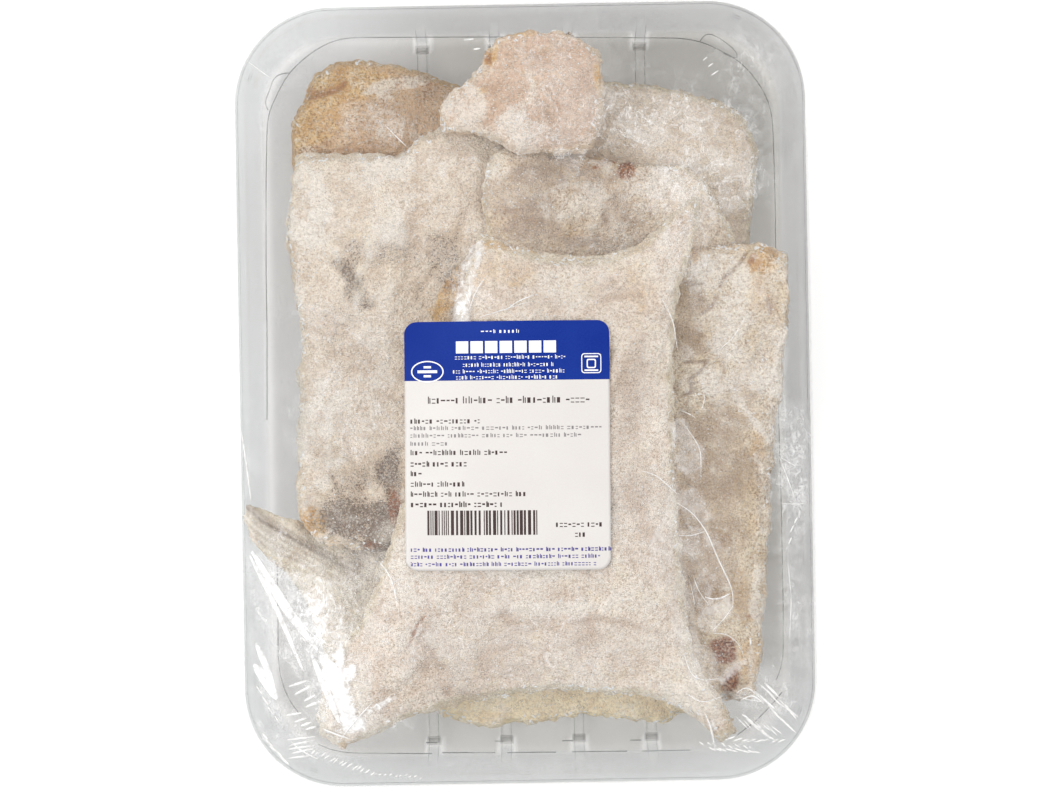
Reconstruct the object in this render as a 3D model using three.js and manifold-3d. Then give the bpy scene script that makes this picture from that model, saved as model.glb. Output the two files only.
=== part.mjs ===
// A retail pack of salted dried cod: a clear thermoformed tray holding nine overlapping pieces of cod,
// wrapped in stretched clear film, with a printed label on top of the film.
// Millimetres, +Z up. The origin is under the middle of the pack, on the surface that it lies on.
// +Y runs along the tray's long side.
import * as THREE from 'three';
import { mergeVertices } from 'three/addons/utils/BufferGeometryUtils.js';
import Module from 'manifold-3d';

const wasm = await Module();
wasm.setup();

// ---- Driving dimensions -------------------------------------------------------------------------

const GAP = 0.3;               // clearance kept between touching pieces
const PACK_WIDTH = 186;        // over the tray's rim, along X
const PACK_LENGTH = 254;       // over the tray's rim, along Y
const RIM_TOP = 38;            // height of the rim's top above the resting surface
const RIM_CORNER_RADIUS = 32;
const CORNER_STEPS = 8;        // facets in each rounded corner of the tray

// The film's lid is a grid of cells. It is held at an inset from the rim's edge and drawn tight by many
// pulls, and its hem ends at an inset under the base.
const FILM = { thickness: 0.4, across: 22, along: 30, held: 0.5, pulls: 900, hem: 25 };
const TRAY = { wall: 0.7, base: FILM.thickness + GAP };   // base: height of the underside
const FLOOR = TRAY.base + TRAY.wall;                      // the floor that the fish lies on

// The tray's profile as [inset from the rim's outer edge, height], up the outside, then down the inside.
const TRAY_OUTSIDE = [
  [7.6, TRAY.base], [6.2, 1.2], [5.5, 2.6], [5.4, 3.4], [2.7, 37.3], [0.7, 37.3], [0.7, 35.6],
  [0, 35.6], [0, 37.5], [0.5, RIM_TOP],
];
const TRAY_INSIDE = [[2.9, RIM_TOP], [3.4, 37.5], [6.1, 3.6], [6.8, 2.1], [8.0, FLOOR]];

const WALL_FOOT = TRAY_OUTSIDE[3][0];

const RIBS = {
  count: 4, pitch: 24.6, middle: 4, width: 5, slope: 0.6, height: 2.4, pilaster: 20, depths: [3.4, 2.6, 0.6],
};
const LUGS = {
  angles: [159, 69, -21, -111], radius: 6.5, proud: 3, from: 21, to: 35, taper: 2.5, facets: 12,
};

const LABEL = {
  width: 66, length: 80, thickness: 0.3, eased: 0.7, middle: [-6, -16.6], turn: -0.5, across: 8, along: 10,
};

// Each piece of cod lies on the ones before it. An outline goes round the piece in plan. Thickness is at
// the middle and edge is the share of it left at the cut edge. Stiff says how little the piece sags onto
// those below. Slope thins the piece towards one side: it is the direction of the thin side in degrees and
// the share of thickness lost there. Climb is how steeply a piece runs up over the tray's rim.
const PIECES = [
  {
    name: 'cod_under', thickness: 18, edge: 0.6, stiff: 60, points: 28, colour: 0xd9bd86,
    outline: [[-42, -24], [-8, -12], [30, -14], [50, -34], [57, -72], [60, -103], [53, -110], [24, -109.5],
      [0, -110], [-22, -111], [-36, -101], [-44, -72]],
  },
  {
    name: 'cod_back_left', thickness: 13, edge: 0.6, stiff: 60, points: 28, colour: 0xc59a5c,
    outline: [[-77, 83], [-77.5, 94], [-75, 101.5], [-69.5, 103], [-68, 112.5], [-57, 114], [-39, 110.5],
      [-21, 105], [0, 94], [1, 62], [-8, 31], [-42, 22], [-74, 26], [-77, 55]],
  },
  {
    name: 'cod_back_right', thickness: 12, edge: 0.6, stiff: 60, points: 28, colour: 0xd9cdb4,
    outline: [[13, 101], [27, 105], [42, 104], [60, 99.5], [74, 94], [79, 88], [79, 74], [77, 60], [77.5, 42],
      [75, 16], [66, 2], [41, 0], [12, 4], [5, 32], [8, 75]],
  },
  {
    name: 'cod_fin', thickness: 13, edge: 0.32, stiff: 60, points: 32, colour: 0x9c9384, slope: [165, 0.68],
    climb: 0.8,
    outline: [[-91, -34], [-85, -37], [-75, -41], [-60, -46], [-36, -50], [-18, -62], [-20, -84],
      [-34, -97], [-58, -97], [-66, -89], [-70, -79], [-73.5, -67], [-79, -58], [-86, -51.5], [-91, -45]],
  },
  {
    name: 'cod_left', thickness: 16, edge: 0.55, stiff: 110, points: 32, colour: 0xded4c2,
    outline: [[-75, 81], [-62, 82], [-51, 80], [-39.5, 81], [-27, 88], [-16, 90.5], [-5, 86], [3, 70],
      [2.5, 44], [-8, 18], [-18, -11], [-27, -36], [-37, -50], [-51, -52], [-64, -49.5], [-73, -44],
      [-76, -17], [-75, 28], [-78, 46], [-77, 70]],
  },
  {
    name: 'cod_middle', thickness: 10, edge: 0.6, stiff: 80, points: 28, colour: 0xb0a291,
    outline: [[-9, 79.5], [6, 80], [26, 78], [39, 76], [55, 75], [63.5, 67], [67, 57], [72, 48], [69, 36],
      [57, 20], [25, 17], [-4, 21], [-11.5, 47], [-13, 65]],
  },
  {
    name: 'cod_top_flap', thickness: 10, edge: 0.5, stiff: 700, points: 28, colour: 0xdcc2a4,
    outline: [[-25, 85.5], [-27, 92], [-19, 102], [-11.5, 108], [-10, 115], [0, 118], [13, 118.8],
      [22, 116.5], [27.5, 111], [27.5, 100], [25, 82], [19, 77.5], [6, 78], [-5, 80], [-15, 85]],
  },
  {
    name: 'cod_right', thickness: 15, edge: 0.68, stiff: 300, points: 32, colour: 0xcdb79a,
    outline: [[54, 46], [69.5, 48], [80, 48.5], [86, 45], [87.3, 38], [87, 25], [86.5, 9], [84.5, -7],
      [82.5, -18], [81, -36], [80, -55], [78, -75], [76.5, -90], [74, -101.5], [68, -105], [60, -103],
      [42, -97], [34, -75], [33, -35], [37, -3], [43, 30]],
  },
  {
    name: 'cod_centre', thickness: 16, edge: 0.45, stiff: 900, points: 58, colour: 0xe4dccb,
    outline: [[-14, 52.5], [-4, 48.5], [7, 45.5], [19, 44], [31.5, 45.5], [41, 50], [48.5, 58], [57, 66],
      [57.5, 54], [51, 36], [48.3, -3], [49.5, -48], [53.5, -85], [58, -97], [69.5, -112],
      [66.5, -118], [58, -112.5], [50, -103.5], [38, -99], [3, -98], [-24, -101.5], [-42, -106.5],
      [-56, -113], [-66, -115.5], [-69.5, -112], [-69, -98], [-65, -84], [-56, -74], [-46, -50],
      [-33, -14], [-21.5, 25], [-18, 41]],
  },
];
const LUMPS = { long: 13, high: 1.1, short: 6, low: 0.5 };    // spread and height of the flesh's unevenness
const RAGGED = { spread: 7, share: 0.011 };                   // uneven edges, as a share of their distance
const TOP_RINGS = [0.24, 0.46, 0.66, 0.83, 0.95];             // share of the way from the middle to the edge
const UNDER_RINGS = [0.94, 0.8, 0.45];
const SIDE_SHARE = 0.45;                                      // height of the edge's widest line
const THINNEST = 1.6;
const OVERHANG = 1.03;                                        // how far past its edge a piece is held up
const RIM_INSIDE = TRAY_INSIDE[1][0] + 2 * GAP;               // inset where a climbing piece reaches the rim

// ---- Plan outlines ------------------------------------------------------------------------------

const degrees = Math.PI / 180;

// The rim's outline moved inwards: points run anticlockwise and start on the right-hand side.
function rimOutline(inset) {
  const points = [];
  const radius = RIM_CORNER_RADIUS - inset;
  const cornerX = PACK_WIDTH / 2 - RIM_CORNER_RADIUS;
  const cornerY = PACK_LENGTH / 2 - RIM_CORNER_RADIUS;
  [[1, 1], [-1, 1], [-1, -1], [1, -1]].forEach(([sx, sy], quarter) => {
    for (let i = 0; i <= CORNER_STEPS; i++) {
      const angle = (quarter + i / CORNER_STEPS) * 90 * degrees;
      points.push([sx * cornerX + radius * Math.cos(angle), sy * cornerY + radius * Math.sin(angle)]);
    }
  });
  return points;
}

// How far a point in plan lies inside the rim's outer edge.
function insetAt(x, y) {
  const dx = Math.abs(x) - (PACK_WIDTH / 2 - RIM_CORNER_RADIUS);
  const dy = Math.abs(y) - (PACK_LENGTH / 2 - RIM_CORNER_RADIUS);
  const beyond = Math.hypot(Math.max(dx, 0), Math.max(dy, 0));
  return RIM_CORNER_RADIUS - beyond - Math.min(Math.max(dx, dy), 0);
}

// Height of the tray's inner surface, kept a little clear of the wall and its facets. The ribs are taken
// as a floor all over at their top.
function trayHeight(x, y) {
  const inset = insetAt(x, y) - 2 * GAP;
  const profile = [[0, RIM_TOP], ...TRAY_INSIDE];
  for (let i = 1; i < profile.length; i++) {
    const [outer, high] = profile[i - 1];
    const [inner, low] = profile[i];
    if (inset < inner) {
      const share = Math.max(0, (inset - outer) / (inner - outer));
      return Math.max(high + (low - high) * share, FLOOR + RIBS.height);
    }
  }
  return FLOOR + RIBS.height;
}

// ---- Noise --------------------------------------------------------------------------------------

function lattice(i, j, seed) {
  let h = Math.imul(i, 374761393) + Math.imul(j, 668265263) + Math.imul(seed, 974711);
  h = Math.imul(h ^ (h >>> 13), 1274126177);
  return ((h ^ (h >>> 16)) >>> 0) / 4294967295;
}

// Smooth noise from -1 to 1.
function noise(x, y, seed) {
  const i = Math.floor(x);
  const j = Math.floor(y);
  const ease = (t) => t * t * (3 - 2 * t);
  const u = ease(x - i);
  const v = ease(y - j);
  const near = lattice(i, j, seed) * (1 - u) + lattice(i + 1, j, seed) * u;
  const far = lattice(i, j + 1, seed) * (1 - u) + lattice(i + 1, j + 1, seed) * u;
  return 2 * (near * (1 - v) + far * v) - 1;
}

// ---- Height fields ------------------------------------------------------------------------------

const CELL = 2;
const HALF_X = 96;
const HALF_Y = 130;
const COLUMNS = (2 * HALF_X) / CELL + 1;
const ROWS = (2 * HALF_Y) / CELL + 1;

class HeightField {
  constructor(height) {
    this.z = new Float64Array(COLUMNS * ROWS);
    this.each((x, y, k) => { this.z[k] = height(x, y, k); });
  }

  each(visit) {
    for (let j = 0; j < ROWS; j++) {
      for (let i = 0; i < COLUMNS; i++) visit(i * CELL - HALF_X, j * CELL - HALF_Y, j * COLUMNS + i);
    }
  }

  at(x, y) {
    const gx = Math.min(Math.max((x + HALF_X) / CELL, 0), COLUMNS - 1.001);
    const gy = Math.min(Math.max((y + HALF_Y) / CELL, 0), ROWS - 1.001);
    const i = Math.floor(gx);
    const j = Math.floor(gy);
    const u = gx - i;
    const v = gy - j;
    const k = j * COLUMNS + i;
    const near = this.z[k] * (1 - u) + this.z[k + 1] * u;
    const far = this.z[k + COLUMNS] * (1 - u) + this.z[k + COLUMNS + 1] * u;
    return near * (1 - v) + far * v;
  }

  // Raises the four corners of the cell that holds a point, so that the field is nowhere below it.
  raise(x, y, z) {
    const k = Math.floor((y + HALF_Y) / CELL) * COLUMNS + Math.floor((x + HALF_X) / CELL);
    for (const corner of [k, k + 1, k + COLUMNS, k + COLUMNS + 1]) {
      this.z[corner] = Math.max(this.z[corner], z);
    }
  }

  // Lets a sheet sag onto this field: each node goes to the mean of its free neighbours, but never below
  // the field. Few passes give a limp sheet and many a taut one.
  draped(passes, free) {
    const floor = this.z;
    const sheet = new HeightField((x, y, k) => floor[k]);
    const steps = [1, -1, COLUMNS, -COLUMNS];
    for (let pass = 0; pass < passes; pass++) {
      for (let k = COLUMNS; k < floor.length - COLUMNS; k++) {
        if (!free[k]) continue;
        let sum = 0;
        let count = 0;
        for (const step of steps) {
          if (free[k + step] === 0) continue;
          sum += sheet.z[k + step];
          count++;
        }
        if (count) sheet.z[k] = Math.max(floor[k], sum / count);
      }
    }
    return sheet;
  }

  // Pulls a taut sheet over this field: it is held down where free is 0, and elsewhere runs straight
  // between what it rests on.
  stretched(passes, free) {
    const floor = this.z;
    const sheet = new HeightField((x, y, k) => floor[k]);
    const { z } = sheet;
    for (let pass = 0; pass < passes; pass++) {
      for (let k = COLUMNS; k < z.length - COLUMNS; k++) {
        if (!free[k]) continue;
        z[k] = Math.max(floor[k], (z[k - 1] + z[k + 1] + z[k - COLUMNS] + z[k + COLUMNS]) / 4);
      }
    }
    return sheet;
  }
}

// ---- Surfaces in plan ---------------------------------------------------------------------------

// Calls visit at points all over a triangle, no further apart than about a millimetre and a half.
function sweep(vertices, triangle, visit) {
  const [a, b, c] = triangle.map((k) => vertices[k]);
  const reach = Math.max(Math.hypot(a[0] - b[0], a[1] - b[1]), Math.hypot(a[0] - c[0], a[1] - c[1]),
    Math.hypot(b[0] - c[0], b[1] - c[1]));
  const steps = Math.max(1, Math.ceil(reach / 1.5));
  for (let i = 0; i <= steps; i++) {
    for (let j = 0; j <= steps - i; j++) {
      const u = i / steps;
      const v = j / steps;
      const w = 1 - u - v;
      visit(...[0, 1, 2].map((axis) => a[axis] * w + b[axis] * u + c[axis] * v));
    }
  }
}

// Lifts the vertices of a surface until all of it lies above a height that depends on x and y.
function liftClear(vertices, triangles, height) {
  for (let pass = 0; pass < 10; pass++) {
    const lift = new Map();
    for (const triangle of triangles) {
      let worst = 0;
      sweep(vertices, triangle, (x, y, z) => { worst = Math.max(worst, height(x, y) - z); });
      if (worst > 0) triangle.forEach((k) => lift.set(k, Math.max(lift.get(k) ?? 0, worst)));
    }
    if (!lift.size) return;
    lift.forEach((by, k) => { vertices[k][2] += by; });
  }
}

// The strip of triangles between two rings of the same number of points, each an index of its start.
function strip(count, low, high) {
  const triangles = [];
  for (let i = 0; i < count; i++) {
    const j = (i + 1) % count;
    triangles.push([low + i, low + j, high + j], [low + i, high + j, high + i]);
  }
  return triangles;
}

function fan(count, ring, middle) {
  return Array.from({ length: count }, (_, i) => [ring + i, ring + ((i + 1) % count), middle]);
}

const flipped = (triangles) => triangles.map(([a, b, c]) => [a, c, b]);

function geometryOf(vertices, triangles) {
  const geometry = new THREE.BufferGeometry();
  geometry.setAttribute('position', new THREE.Float32BufferAttribute(vertices.flat(), 3));
  geometry.setIndex(triangles.flat());
  return geometry;
}

// A solid of stacked rings with as many points each, closed at both ends by a flat cap.
function ringStack(rings) {
  const count = rings[0].length;
  const cap = THREE.ShapeUtils.triangulateShape(rings[0].map(([x, y]) => new THREE.Vector2(x, y)), []);
  const last = (rings.length - 1) * count;
  const triangles = flipped(cap);
  for (let r = 0; r + 1 < rings.length; r++) triangles.push(...strip(count, r * count, (r + 1) * count));
  triangles.push(...cap.map((corner) => corner.map((k) => k + last)));
  return geometryOf(rings.flat(), triangles);
}

// ---- Joins and cuts -----------------------------------------------------------------------------

function solidOf(geometry) {
  const bare = new THREE.BufferGeometry();
  bare.setAttribute('position', geometry.getAttribute('position'));
  bare.setIndex(geometry.getIndex());
  const merged = mergeVertices(bare, 1e-4);
  return new wasm.Manifold(new wasm.Mesh({
    numProp: 3,
    vertProperties: merged.attributes.position.array,
    triVerts: new Uint32Array(merged.index.array),
  }));
}

function geometryFrom(solid) {
  const { vertProperties, triVerts } = solid.getMesh();
  const geometry = new THREE.BufferGeometry();
  geometry.setAttribute('position', new THREE.BufferAttribute(new Float32Array(vertProperties), 3));
  geometry.setIndex(Array.from(triVerts));
  return geometry;
}

// ---- Tray ---------------------------------------------------------------------------------------

// A bar with sloping sides and ends that lies along Y between two heights, as a solid.
function bar(x, width, bottom, top, half) {
  const outline = (side, z, reach) => [
    [x + side, -reach, z], [x + side, reach, z], [x - side, reach, z], [x - side, -reach, z],
  ];
  return solidOf(ringStack([
    outline(width / 2, bottom, half),
    outline(width / 2 - RIBS.slope, top, half - RIBS.slope),
  ]));
}

// An upright round column at a corner of the tray, where its wall bulges out to hold stacked trays apart.
function lug(angle, radius, from, to, proud) {
  const a = angle * degrees;
  const corner = [Math.sign(Math.cos(a)) * (PACK_WIDTH / 2 - RIM_CORNER_RADIUS),
    Math.sign(Math.sin(a)) * (PACK_LENGTH / 2 - RIM_CORNER_RADIUS)];
  const out = RIM_CORNER_RADIUS - WALL_FOOT + proud - radius;
  const facet = 360 / LUGS.facets;
  const ring = (z, r) => Array.from({ length: LUGS.facets }, (_, i) => [
    corner[0] + out * Math.cos(a) + r * Math.cos(i * facet * degrees),
    corner[1] + out * Math.sin(a) + r * Math.sin(i * facet * degrees), z]);
  const foot = from + LUGS.taper;
  return solidOf(ringStack([ring(from, radius - LUGS.taper), ring(foot, radius), ring(to, radius)]));
}

// Each rib climbs the end wall a little way as a low pad against the inside of the wall.
function pilaster(x, end) {
  const half = RIBS.width / 2;
  const [outer, high] = TRAY_INSIDE[1];
  const [inner, low] = TRAY_INSIDE[2];
  const ring = (z, depth) => {
    const inset = inner + ((z - low) / (high - low)) * (outer - inner) - TRAY.wall / 2;
    const wall = PACK_LENGTH / 2 - inset;
    const front = wall - depth;
    const corners = [[x - half, front], [x + half, front], [x + half, wall], [x - half, wall]];
    return (end > 0 ? corners : corners.map(([a, b]) => [a, -b]).reverse()).map(([a, b]) => [a, b, z]);
  };
  const [foot, knee, head] = RIBS.depths;
  const bend = ring(FLOOR + RIBS.height, knee);
  return solidOf(ringStack([ring(FLOOR + GAP, foot), bend, ring(RIBS.pilaster, head)]));
}

function trayShell() {
  const stack = (profile) => solidOf(ringStack(profile.map(([inset, z]) =>
    rimOutline(inset).map(([x, y]) => [x, y, z]))));
  const [mouthInset] = TRAY_INSIDE[0];
  let shell = stack(TRAY_OUTSIDE);
  let hollow = stack([...TRAY_INSIDE].reverse().concat([[mouthInset, RIM_TOP + 1]]));
  for (const angle of LUGS.angles) {
    shell = shell.add(lug(angle, LUGS.radius, LUGS.from, LUGS.to, LUGS.proud));
    hollow = hollow.add(lug(angle, LUGS.radius - TRAY.wall, LUGS.from + TRAY.wall, LUGS.to - TRAY.wall,
      LUGS.proud - TRAY.wall));
  }
  shell = shell.subtract(hollow);
  const half = PACK_LENGTH / 2 - WALL_FOOT - 2;
  for (let i = 0; i < RIBS.count; i++) {
    const x = RIBS.middle + (i - (RIBS.count - 1) / 2) * RIBS.pitch;
    const crest = bar(x, RIBS.width, FLOOR - GAP, FLOOR + RIBS.height, half);
    const groove = bar(x, RIBS.width - 2 * TRAY.wall, 0, FLOOR + RIBS.height - TRAY.wall, half - 2);
    shell = shell.add(crest).subtract(groove);
    for (const end of [-1, 1]) shell = shell.add(pilaster(x, end));
  }
  return geometryFrom(shell);
}

// ---- Cod ----------------------------------------------------------------------------------------

function smoothOutline(piece, seed) {
  const curve = new THREE.CatmullRomCurve3(piece.outline.map(([x, y]) => new THREE.Vector3(x, y, 0)), true);
  const points = curve.getSpacedPoints(piece.points).slice(0, piece.points).map(({ x, y }) => {
    const uneven = RAGGED.share * noise(x / RAGGED.spread, y / RAGGED.spread, seed);
    return new THREE.Vector2(x, y).multiplyScalar(1 + uneven);
  });
  return THREE.ShapeUtils.area(points) < 0 ? points.reverse() : points;
}

function inside(points, x, y) {
  let odd = false;
  points.forEach((p, i) => {
    const q = points[(i + 1) % points.length];
    if ((p.y > y) !== (q.y > y) && x < p.x + ((y - p.y) / (q.y - p.y)) * (q.x - p.x)) odd = !odd;
  });
  return odd;
}

// Height of a piece above its underside, at a place and its share of the way out to the edge.
function thicknessOf(piece, middle, reach, seed) {
  const [thinSide, thinBy] = piece.slope ?? [0, 0];
  const towards = new THREE.Vector2(Math.cos(thinSide * degrees), Math.sin(thinSide * degrees));
  return (x, y, share) => {
    const crown = piece.edge + (1 - piece.edge) * Math.sqrt(Math.max(0, 1 - share ** 3));
    const along = new THREE.Vector2(x, y).sub(middle).dot(towards) / reach + 0.4;
    const thick = piece.thickness * (1 - thinBy * THREE.MathUtils.clamp(along, 0, 1));
    const lumps = LUMPS.high * noise(x / LUMPS.long, y / LUMPS.long, seed)
      + LUMPS.low * noise(x / LUMPS.short, y / LUMPS.short, seed + PIECES.length);
    return Math.max(THINNEST, thick * crown + lumps * Math.min(1, thick / 8));
  };
}

// The underside of a piece: what it lies on, smoothed by the piece's own stiffness.
function sagged(piece, edge, middle, pile) {
  const ramp = (x, y) => (piece.climb ? RIM_TOP - piece.climb * Math.max(0, insetAt(x, y) - RIM_INSIDE) : 0);
  const ground = new HeightField((x, y, k) => Math.max(pile.z[k], trayHeight(x, y), ramp(x, y)) + GAP);
  const free = new Uint8Array(ground.z.length);
  ground.each((x, y, k) => {
    const p = new THREE.Vector2(x, y).sub(middle).divideScalar(OVERHANG).add(middle);
    free[k] = inside(edge, p.x, p.y) ? 1 : 0;
  });
  return ground.draped(piece.stiff, free);
}

// Makes one piece on top of the pile and adds its top to the pile.
function codPiece(piece, pile, seed) {
  const edge = smoothOutline(piece, seed);
  const middle = edge.reduce((sum, p) => sum.add(p), new THREE.Vector2()).divideScalar(edge.length);
  const reach = Math.max(...edge.map((p) => p.distanceTo(middle)));
  const sheet = sagged(piece, edge, middle, pile);
  const thickness = thicknessOf(piece, middle, reach, seed);

  const count = edge.length;
  const vertices = [];
  const ring = (share, height) => edge.forEach((p) => {
    const { x, y } = p.clone().sub(middle).multiplyScalar(share).add(middle);
    vertices.push([x, y, height(x, y)]);
  });
  UNDER_RINGS.forEach((share) => ring(share, (x, y) => sheet.at(x, y)));
  vertices.push([middle.x, middle.y, sheet.at(middle.x, middle.y)]);
  const underMiddle = UNDER_RINGS.length * count;
  const side = underMiddle + 1;
  ring(1, (x, y) => sheet.at(x, y) + SIDE_SHARE * thickness(x, y, 1));
  const under = fan(count, underMiddle - count, underMiddle);
  for (let r = 0; r + 1 < UNDER_RINGS.length; r++) under.push(...strip(count, r * count, (r + 1) * count));
  const flank = strip(count, 0, side);
  liftClear(vertices, [...under, ...flank], (x, y) => Math.max(pile.at(x, y), trayHeight(x, y)) + GAP);

  const firstTop = vertices.length;
  TOP_RINGS.forEach((share) => ring(share, (x, y) => sheet.at(x, y) + thickness(x, y, share)));
  vertices.push([middle.x, middle.y, sheet.at(middle.x, middle.y) + thickness(middle.x, middle.y, 0)]);
  const topMiddle = vertices.length - 1;
  const outer = topMiddle - count;
  for (let i = 0; i < count; i++) {
    vertices[outer + i][2] = Math.max(vertices[outer + i][2], vertices[side + i][2] + GAP);
  }
  const top = [...strip(count, side, outer), ...fan(count, firstTop, topMiddle)];
  for (let start = firstTop; start < outer; start += count) top.push(...strip(count, start + count, start));
  [...top, ...flank].forEach((triangle) => sweep(vertices, triangle, (x, y, z) => pile.raise(x, y, z)));
  return geometryOf(vertices, [...flipped(under), ...flank, ...top]);
}

// ---- Film ---------------------------------------------------------------------------------------

// The skirt's outer face as [inset, height]: over the rim, down past the wall and under the base.
const SKIRT = [[-0.75, 38.3], [-0.75, 35.2], [4.55, 3.4], [4.7, 2.1], [5.6, 0.55], [7.3, 0], [FILM.hem, 0]];
// The inner face of the same skirt, one film thickness in.
const SKIRT_INNER = [[-0.35, 38.2], [-0.35, 35.25], [4.95, 3.5], [5.1, 2.3], [5.9, 0.95], [7.4, 0.4],
  [FILM.hem, 0.4]];

// The cells round the border of the film's grid, anticlockwise from a corner.
function borderCells() {
  const { across, along } = FILM;
  const cells = [];
  for (let i = 0; i < across; i++) cells.push([i, 0]);
  for (let j = 0; j < along; j++) cells.push([across, j]);
  for (let i = across; i > 0; i--) cells.push([i, along]);
  for (let j = along; j > 0; j--) cells.push([0, j]);
  return cells;
}

// Lays a point of the border of a square, from -1 to 1 both ways, on the rim's outline at an inset.
function onOutline([s, t], inset) {
  const halfX = PACK_WIDTH / 2 - inset;
  const halfY = PACK_LENGTH / 2 - inset;
  const radius = RIM_CORNER_RADIUS - inset;
  const x = s * halfX;
  const y = t * halfY;
  const dx = Math.abs(x) - (halfX - radius);
  const dy = Math.abs(y) - (halfY - radius);
  if (dx <= 0 || dy <= 0) return [x, y];
  const angle = (Math.abs(s) >= 1 ? 45 * (dy / radius) : 90 - 45 * (dx / radius)) * degrees;
  return [Math.sign(x) * (halfX - radius + radius * Math.cos(angle)),
    Math.sign(y) * (halfY - radius + radius * Math.sin(angle))];
}

const onSquare = ([i, j]) => [(2 * i) / FILM.across - 1, (2 * j) / FILM.along - 1];
const lidIndex = (i, j) => j * (FILM.across + 1) + i;

// The film over the fish: a grid that follows a sheet pulled taut from rim to rim over the pile.
function filmLid(pile) {
  const free = new Uint8Array(COLUMNS * ROWS);
  const over = new HeightField((x, y, k) => {
    const held = insetAt(x, y) <= FILM.held;
    free[k] = held ? 0 : 1;
    return Math.max(pile.z[k], held ? RIM_TOP : trayHeight(x, y)) + GAP;
  });
  const taut = over.stretched(FILM.pulls, free);
  const vertices = [];
  for (let j = 0; j <= FILM.along; j++) {
    for (let i = 0; i <= FILM.across; i++) {
      const [s, t] = onSquare([i, j]);
      const out = Math.max(Math.abs(s), Math.abs(t));
      const [x, y] = out ? onOutline([s / out, t / out], FILM.held).map((value) => value * out) : [0, 0];
      vertices.push([x, y, taut.at(x, y)]);
    }
  }
  const lid = [];
  for (let j = 0; j < FILM.along; j++) {
    for (let i = 0; i < FILM.across; i++) {
      const [a, b, c, d] = [lidIndex(i, j), lidIndex(i + 1, j), lidIndex(i + 1, j + 1), lidIndex(i, j + 1)];
      const rising = (i < FILM.across / 2) === (j < FILM.along / 2);
      lid.push(...(rising ? [[a, b, c], [a, c, d]] : [[a, b, d], [b, c, d]]));
    }
  }
  liftClear(vertices, lid, (x, y) => Math.max(pile.at(x, y), insetAt(x, y) < RIM_INSIDE ? RIM_TOP : 0) + GAP);
  return { vertices, lid };
}

// The whole wrap: the lid, and a skirt over the rim, down past the wall and under the base.
function filmShell({ vertices, lid }) {
  const border = borderCells();
  const count = border.length;
  const firstRing = vertices.length;
  const face = (skirt, raise) => [
    ...vertices.map(([x, y, z]) => [x, y, z + raise]),
    ...skirt.flatMap(([inset, z]) => border.map((cell) => [...onOutline(onSquare(cell), inset), z])),
  ];
  const outer = face(SKIRT, FILM.thickness);
  const inner = face(SKIRT_INNER, 0);
  const lidBorder = border.map(([i, j]) => lidIndex(i, j));
  const shell = [...lid];
  for (let i = 0; i < count; i++) {
    const j = (i + 1) % count;
    shell.push([lidBorder[i], firstRing + i, firstRing + j], [lidBorder[i], firstRing + j, lidBorder[j]]);
  }
  for (let r = 0; r + 1 < SKIRT.length; r++) {
    shell.push(...strip(count, firstRing + (r + 1) * count, firstRing + r * count));
  }
  const lastRing = firstRing + (SKIRT.length - 1) * count;
  const hem = strip(count, outer.length + lastRing, lastRing);
  const innerShell = flipped(shell).map((triangle) => triangle.map((k) => k + outer.length));
  return geometryOf([...outer, ...inner], [...shell, ...innerShell, ...hem]);
}

// ---- Label --------------------------------------------------------------------------------------

// A thin sheet with its corners eased, lying on the film.
function labelSheet({ vertices: film, lid }) {
  const surface = new HeightField(() => 0);
  lid.forEach((triangle) => sweep(film, triangle, (x, y, z) => surface.raise(x, y, z + FILM.thickness)));
  const { across, along } = LABEL;
  const lower = [];
  for (let j = 0; j <= along; j++) {
    for (let i = 0; i <= across; i++) {
      const s = (2 * i) / across - 1;
      const t = (2 * j) / along - 1;
      const eased = Math.abs(s * t) === 1 ? LABEL.eased : 0;
      const p = new THREE.Vector2(s * (LABEL.width / 2 - eased), t * (LABEL.length / 2 - eased));
      p.rotateAround(new THREE.Vector2(), LABEL.turn * degrees).add(new THREE.Vector2(...LABEL.middle));
      lower.push([p.x, p.y, surface.at(p.x, p.y)]);
    }
  }
  const row = across + 1;
  const face = [];
  for (let j = 0; j < along; j++) {
    for (let i = 0; i < across; i++) {
      const a = j * row + i;
      face.push([a, a + 1, a + row + 1], [a, a + row + 1, a + row]);
    }
  }
  liftClear(lower, face, (x, y) => surface.at(x, y) + GAP);
  const upper = lower.map(([x, y, z]) => [x, y, z + LABEL.thickness]);
  const rim = [];
  for (let i = 0; i < across; i++) rim.push(i);
  for (let j = 0; j < along; j++) rim.push(j * row + across);
  for (let i = across; i > 0; i--) rim.push(along * row + i);
  for (let j = along; j > 0; j--) rim.push(j * row);
  const sides = rim.flatMap((a, i) => {
    const b = rim[(i + 1) % rim.length];
    return [[a, b, b + lower.length], [a, b + lower.length, a + lower.length]];
  });
  const top = face.map((triangle) => triangle.map((k) => k + lower.length));
  return geometryOf([...lower, ...upper], [...flipped(face), ...top, ...sides]);
}

// ---- The pack -----------------------------------------------------------------------------------

function mesh(name, geometry, colour, roughness, opacity = 1) {
  geometry.computeVertexNormals();
  const material = new THREE.MeshStandardMaterial({
    color: colour, roughness, metalness: 0, flatShading: true, transparent: opacity < 1, opacity,
  });
  const made = new THREE.Mesh(geometry, material);
  made.name = name;
  return made;
}

const pack = new THREE.Group();
pack.add(mesh('tray', trayShell(), 0xd4d9d9, 0.12, 0.35));
const pile = new HeightField(() => 0);
PIECES.forEach((piece, i) => pack.add(mesh(piece.name, codPiece(piece, pile, i + 1), piece.colour, 0.85)));
const lid = filmLid(pile);
pack.add(mesh('film', filmShell(lid), 0xe6eaec, 0.08, 0.25));
pack.add(mesh('label', labelSheet(lid), 0xf4f3f4, 0.45));

export default pack;
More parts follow.
